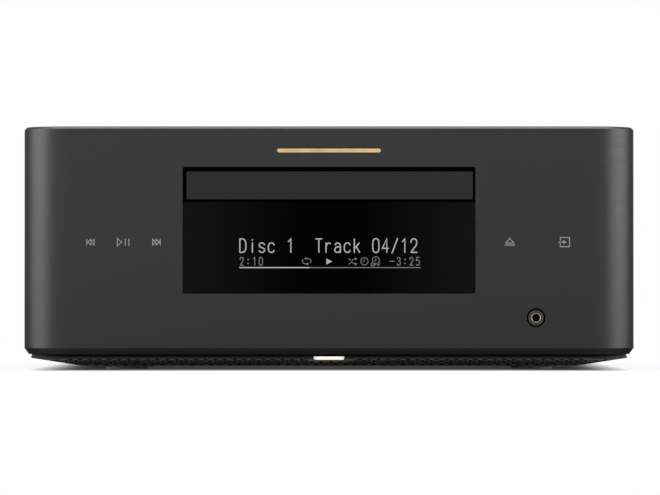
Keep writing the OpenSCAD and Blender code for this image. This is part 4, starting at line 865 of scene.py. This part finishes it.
# display: what the lit panel behind the window shows
displayShape = {"face": -151.2, "ink": 0.03}
titleLine = {"words": "Disc 1  Track 04/12", "start": -40.6, "base": 53.55, "size": (4.325, 2.75, 6.1),
             "pen": 0.53}
elapsedLine = {"words": "2:10", "start": -40.5, "base": 47.7, "size": (2.91, 1.5, 3.55), "pen": 0.34}
leftLine = {**elapsedLine, "words": "3:25", "start": 30.96}
offLine = {"words": "0FF", "start": 19.2, "base": 47.35, "size": (1.5, 1.05, 1.35), "pen": 0.28}
playedBar = {"pen": 0.52, "strokes": [  # with the play sign
    ("line", [(-40.6, 46.6), (-9.05, 46.6)]), ("fill", [(-1.2, 48.0), (1.5, 49.35), (-1.2, 50.7)])]}
restBar = {"pen": 0.37, "strokes": [("line", [(-8.65, 46.6), (41.6, 46.6)])]}
minusSign = {"pen": 0.34, "strokes": [("line", [(27.7, 49.475), (29.8, 49.475)])]}
repeatHalf = {"pen": 0.31, "middle": (-10.15, 49.5), "strokes": [
    ("line", arcPoints((0, 0), (1.95, 1.3), -35, 115, 10)),
    ("fill", [(-0.85, 1.75), (0.3, 1.4), (-0.4, 0.55)])]}
shuffleIcon = {"pen": 0.26, "strokes": [
    ("line", [(8.8, 48.2), (9.6, 48.5), (11.1, 50.4), (12.0, 50.65)]),
    ("line", [(8.8, 50.65), (9.5, 50.4), (9.9, 49.95)]),
    ("line", [(10.7, 48.85), (11.2, 48.4), (12.0, 48.2)]),
    ("fill", [(11.8, 47.6), (12.9, 48.25), (11.8, 48.9)]),
    ("fill", [(11.8, 49.95), (12.9, 50.6), (11.8, 51.25)])]}
clockRims = {"pen": 0.29, "strokes": [  # sleep clock, and an alarm clock that is off
    ("ring", circlePoints((16.12, 49.5), 1.66)),
    ("line", arcPoints((21.35, 49.95), (1.6, 1.6), -30, 210, 16))]}
clockHands = {"pen": 0.26, "strokes": [
    ("line", [(16.12, 50.35), (16.12, 49.5), (15.42, 49.2)]),
    ("line", [(21.35, 50.85), (21.35, 50.0), (20.65, 49.7)])]}


def makeDisplay():
    front, ink = faceFront(displayShape["face"]), displayShape["ink"]

    def drawIcon(shape, icon, way=1):
        middle = icon.get("middle", (0, 0))
        drawStrokes(shape, icon["strokes"], middle, (way, way), icon["pen"], front, ink)

    bright = bmesh.new()
    writeLine(bright, titleLine, front, ink)
    drawIcon(bright, playedBar)
    lit = addPiece("displayTitle", bright, displayGlow)
    dim = bmesh.new()
    for line in (elapsedLine, leftLine, offLine):
        writeLine(dim, line, front, ink)
    for icon in (minusSign, restBar, repeatHalf, shuffleIcon, clockRims, clockHands):
        drawIcon(dim, icon)
    drawIcon(dim, repeatHalf, -1)  # the other half, turned round
    small = addPiece("displayStatus", dim, displayDim)
    print("display drawn:", len(lit.data.polygons) + len(small.data.polygons), "faces")


makeDisplay()

# touch marks printed on the front panel, each drawn about its own middle
touchShape = {"face": -151.5, "row": 58.2, "pen": 0.42, "ink": 0.02}
skipMark = [("ring", [(-1.7, -1.3), (-1.7, 1.3), (-0.2, 0)]),
            ("ring", [(-0.15, -1.3), (-0.15, 1.3), (1.35, 0)]), ("line", [(1.7, -1.35), (1.7, 1.35)])]
playMark = [("ring", [(-1.0, -1.75), (-1.0, 1.75), (1.0, 0)]), ("line", [(2.6, -1.45), (2.6, 1.45)]),
            ("line", [(4.25, -1.45), (4.25, 1.45)])]
ejectMark = [("ring", [(-1.85, -0.45), (1.85, -0.45), (0, 1.75)]), ("line", [(-2.15, -1.35), (2.15, -1.35)])]
sourceMark = [("line", [(-2.1, 0.75), (-2.1, 2.1), (2.1, 2.1), (2.1, -2.1), (-2.1, -2.1), (-2.1, -0.75)]),
              ("line", [(-2.75, 0), (-0.95, 0)]), ("fill", [(-0.74, -0.95), (0.75, 0), (-0.74, 0.95)])]
frontMarks = ((-108.6, -1, skipMark), (-95.35, 1, playMark), (-78.6, 1, skipMark), (82.3, 1, ejectMark),
              (107.4, 1, sourceMark))  # place across, which way round, strokes

# marks on the top plate: quieter, standby and louder
topShape = {"face": 111.0, "row": -118.0, "pen": 0.6, "ink": 0.02}
barMark = [("line", [(-2.4, 0), (2.4, 0)])]
standbyMark = [("line", arcPoints((0, 0), (3.0, 3.0), 50, -230, 28)), ("line", [(0, 0.6), (0, 3.4)])]
plusMark = barMark + [("fill", [(-0.3, way * 0.3), (0.3, way * 0.3), (0.3, way * 2.7), (-0.3, way * 2.7)])
                      for way in (-1, 1)]  # the upright is in two halves that meet the bar
topMarks = ((-28.0, 1, barMark), (0.0, 1, standbyMark), (28.0, 1, plusMark))


def printMarks(name, marks, look, place):
    shape = bmesh.new()
    for across, way, strokes in marks:
        drawStrokes(shape, strokes, (across, look["row"]), (way, 1), look["pen"], place, look["ink"])
    addPiece(name, shape, markPrint)


printMarks("frontTouchMarks", frontMarks, touchShape, faceFront(touchShape["face"]))
printMarks("topTouchMarks", topMarks, topShape, faceTop(topShape["face"]))

# rear marks: signs by the speaker posts, letters and colour rings by the phono jacks
rearShape = {"face": 127.5, "letter": {"size": (2.6, 1.9, 2.8), "pen": 0.5}, "letterHalf": 0.95, "ink": 0.05,
             "rulePen": 0.35, "posts": (59.5, 78.5, 97.5, 116.5), "signs": "-+-+", "signZ": 48.2,
             "pairs": (("R", 69.0), ("L", 107.0)), "pairZ": 52.6, "pairRule": (3, 11), "pairRuleZ": 54.0,
             "phonoX": (2.0, 20.0, 38.0), "phonoZ": (25.0, 43.0), "phonoLetter": (6.6, -1.4), "phonoRule": 6,
             "phonoRuleZ": 52.5, "ringSteps": 40,
             "ring": [(5.45, 0.0), (5.45, 0.5), (6.45, 0.5), (6.7, 0.25), (6.7, 0.0)]}


def makeRearMarks():
    rear = rearShape
    back, half = faceRear(rear["face"]), rear["letterHalf"]
    shape = bmesh.new()

    def letter(sign, u, v):
        writeLine(shape, {**rear["letter"], "words": sign, "start": u, "base": v}, back, rear["ink"])

    def rule(start, end, v):
        stroke(shape, [(start, v), (end, v)], rear["rulePen"], back, rear["ink"])

    for sign, x in zip(rear["signs"], rear["posts"]):
        letter(sign, -x - half, rear["signZ"])
    near, far = rear["pairRule"]
    for sign, x in rear["pairs"]:
        letter(sign, -x - half, rear["pairZ"])
        rule(-x - far, -x - near, rear["pairRuleZ"])
        rule(near - x, far - x, rear["pairRuleZ"])
    across, up = rear["phonoLetter"]
    for sign, z in zip("RL", rear["phonoZ"]):
        letter(sign, across, z + up)
    for x in rear["phonoX"]:
        rule(-x - rear["phonoRule"], rear["phonoRule"] - x, rear["phonoRuleZ"])
    addPiece("rearMarks", shape, markPrint)
    colours = (("redPhonoRings", "cap_red"), ("whitePhonoRings", "white_plastic"))
    for (name, slotName), z in zip(colours, rear["phonoZ"]):
        rings = bmesh.new()
        for x in rear["phonoX"]:
            turnedShape(rings, rear["ring"], (-x, z), back, rear["ringSteps"])
        addPiece(name, rings, finishes[slotName])


makeRearMarks()
print("front, top and rear marks drawn")


def raysSeen(tree):  # what the camera sees straight, then that with all it sees mirrored or through a piece
    path = addNode(tree, "LightPath", {}).outputs
    camera = path["Is Camera Ray"]
    other = sums("MAXIMUM", path["Is Glossy Ray"], path["Is Transmission Ray"])
    return camera, sums("MAXIMUM", camera, other)


def rampOver(value, stops):  # grey level read off a row of (position, level) stops
    ramp = addNode(value.id_data, "ValToRGB", {0: value})
    marks = ramp.color_ramp.elements
    while len(marks) < len(stops):
        marks.new(0.5)
    for mark, (position, level) in zip(marks, stops):
        mark.position = position
    for mark, (position, level) in zip(marks, stops):
        mark.color = (*grey(level), 1)
    return ramp.outputs["Color"]


# floor: white, shaded under the case and a touch along its foot; shade is brightness by millimetres inside
floorLook = {"size": 12.0, "drop": 0.02, "bounce": 0.8, "half": 137.5, "front": -190.0, "soften": 0.3,
             "rear": 134.0, "blend": 22.0, "deepest": 120.0,
             "shade": ((0, 1.0), (0.6, 0.93), (3, 0.74), (5.5, 0.6), (8, 0.45), (11, 0.32), (15, 0.17),
                       (19, 0.09), (22, 0.064), (26, 0.054), (45, 0.052), (78, 0.055), (120, 0.058)),
             "footReach": 140.0, "footShadeFrom": (3.0, 18.0),
             "footShade": ((0.0, 1.0), (0.45, 0.95), (0.6, 0.8), (0.7, 0.58), (0.8, 0.55), (0.88, 0.85),
                           (0.95, 1.0)),
             "shutReach": 0.11, "shutSamples": 16, "edgeDim": 0.93, "edgeShut": (0.45, 0.8), "edgeReach": 5.0,
             "mirrorDark": 0.045, "mirrorShut": (0.35, 0.97)}


def addFloor():
    look = floorLook
    finish = bpy.data.materials.new("paleFloor")
    finish.use_nodes = True
    tree = finish.node_tree
    tree.nodes.clear()
    camera, seen = raysSeen(tree)
    place = axesOf(tree, 1 / mm)
    away = sums("ABSOLUTE", place["X"])
    side = sums("SUBTRACT", look["half"], away)
    ahead = sums("MULTIPLY", sums("SUBTRACT", place["Y"], look["front"]), look["soften"])
    along = sums("MINIMUM", ahead, sums("SUBTRACT", look["rear"], place["Y"]))
    inside = addNode(tree, "Math", {0: side, 1: along, 2: look["blend"]}, operation="SMOOTH_MIN").outputs[0]
    stops = [(distance / look["deepest"], bright) for distance, bright in look["shade"]]
    shade = rampOver(sums("DIVIDE", inside, look["deepest"]), stops)
    shut = addNode(tree, "AmbientOcclusion", {"Distance": look["shutReach"]},
                   samples=look["shutSamples"]).outputs["AO"]
    nearFoot = sums("MAXIMUM", spread(shut, look["edgeDim"], 1, *look["edgeShut"]),
                    spread(inside, 0, 1, 0.0, look["edgeReach"]))
    footShade = sums("MAXIMUM", rampOver(sums("DIVIDE", away, look["footReach"]), look["footShade"]),
                     spread(inside, 1, 0, *look["footShadeFrom"]))
    direct = sums("MULTIPLY", sums("MULTIPLY", shade, nearFoot), footShade)
    mirrored = spread(shut, look["mirrorDark"], 1, *look["mirrorShut"])
    level = sums("ADD", sums("MULTIPLY", camera, direct),
                 sums("MULTIPLY", sums("SUBTRACT", 1.0, camera), mirrored))
    glow = addNode(tree, "Emission", {"Color": level})
    plain = addNode(tree, "BsdfDiffuse", {"Color": grey(look["bounce"])})
    pick = addNode(tree, "MixShader", {0: seen, 1: plain.outputs[0], 2: glow.outputs[0]})
    addNode(tree, "OutputMaterial", {"Surface": pick.outputs[0]})
    shape = bmesh.new()
    bmesh.ops.create_grid(shape, x_segments=2, y_segments=2, size=look["size"] / 2)
    floor = bpy.data.objects.new("floor", meshFrom("floor", shape))
    floor.location.z = -look["drop"] * mm
    floor.data.materials.append(finish)
    scene.collection.objects.link(floor)


addFloor()

# soft studio light: plain sky, a softbox above and one at each side
skyLook = {"level": 0.7, "background": 1.0}
lampSet = {
    "overhead": {"place": (0.0, -0.08, 1.35), "aim": (0, -0.08, 0.05), "size": (2.0, 0.7), "level": 4.8},
    "leftBox": {"place": (-3.0, -0.35, 0.74), "aim": (0, -0.10, 0.06), "size": (2.65, 2.0), "level": 6.0},
    "rightBox": {"place": (3.0, -0.28, 0.74), "aim": (0, -0.10, 0.06), "size": (2.8, 2.0), "level": 6.6},
}

sky = bpy.data.worlds.new("studioSky")
scene.world = sky
sky.use_nodes = True
sky.node_tree.nodes.clear()
skyLevel = spread(raysSeen(sky.node_tree)[1], skyLook["level"], skyLook["background"], 0, 1)
skyGlow = addNode(sky.node_tree, "Background", {"Color": grey(1.0), "Strength": skyLevel})
addNode(sky.node_tree, "OutputWorld", {"Surface": skyGlow.outputs[0]})
for lampName, lamp in lampSet.items():
    wide, high = lamp["size"]
    box = bpy.data.lights.new(lampName, "AREA")
    box.shape = "RECTANGLE"
    box.size, box.size_y = wide, high
    box.energy = lamp["level"] * math.pi * wide * high
    holder = bpy.data.objects.new(lampName, box)
    holder.location = lamp["place"]
    holder.rotation_euler = (Vector(lamp["aim"]) - Vector(lamp["place"])).to_track_quat("-Z", "Y").to_euler()
    holder.visible_camera = False
    scene.collection.objects.link(holder)
print("floor, sky and", len(lampSet), "softboxes set")
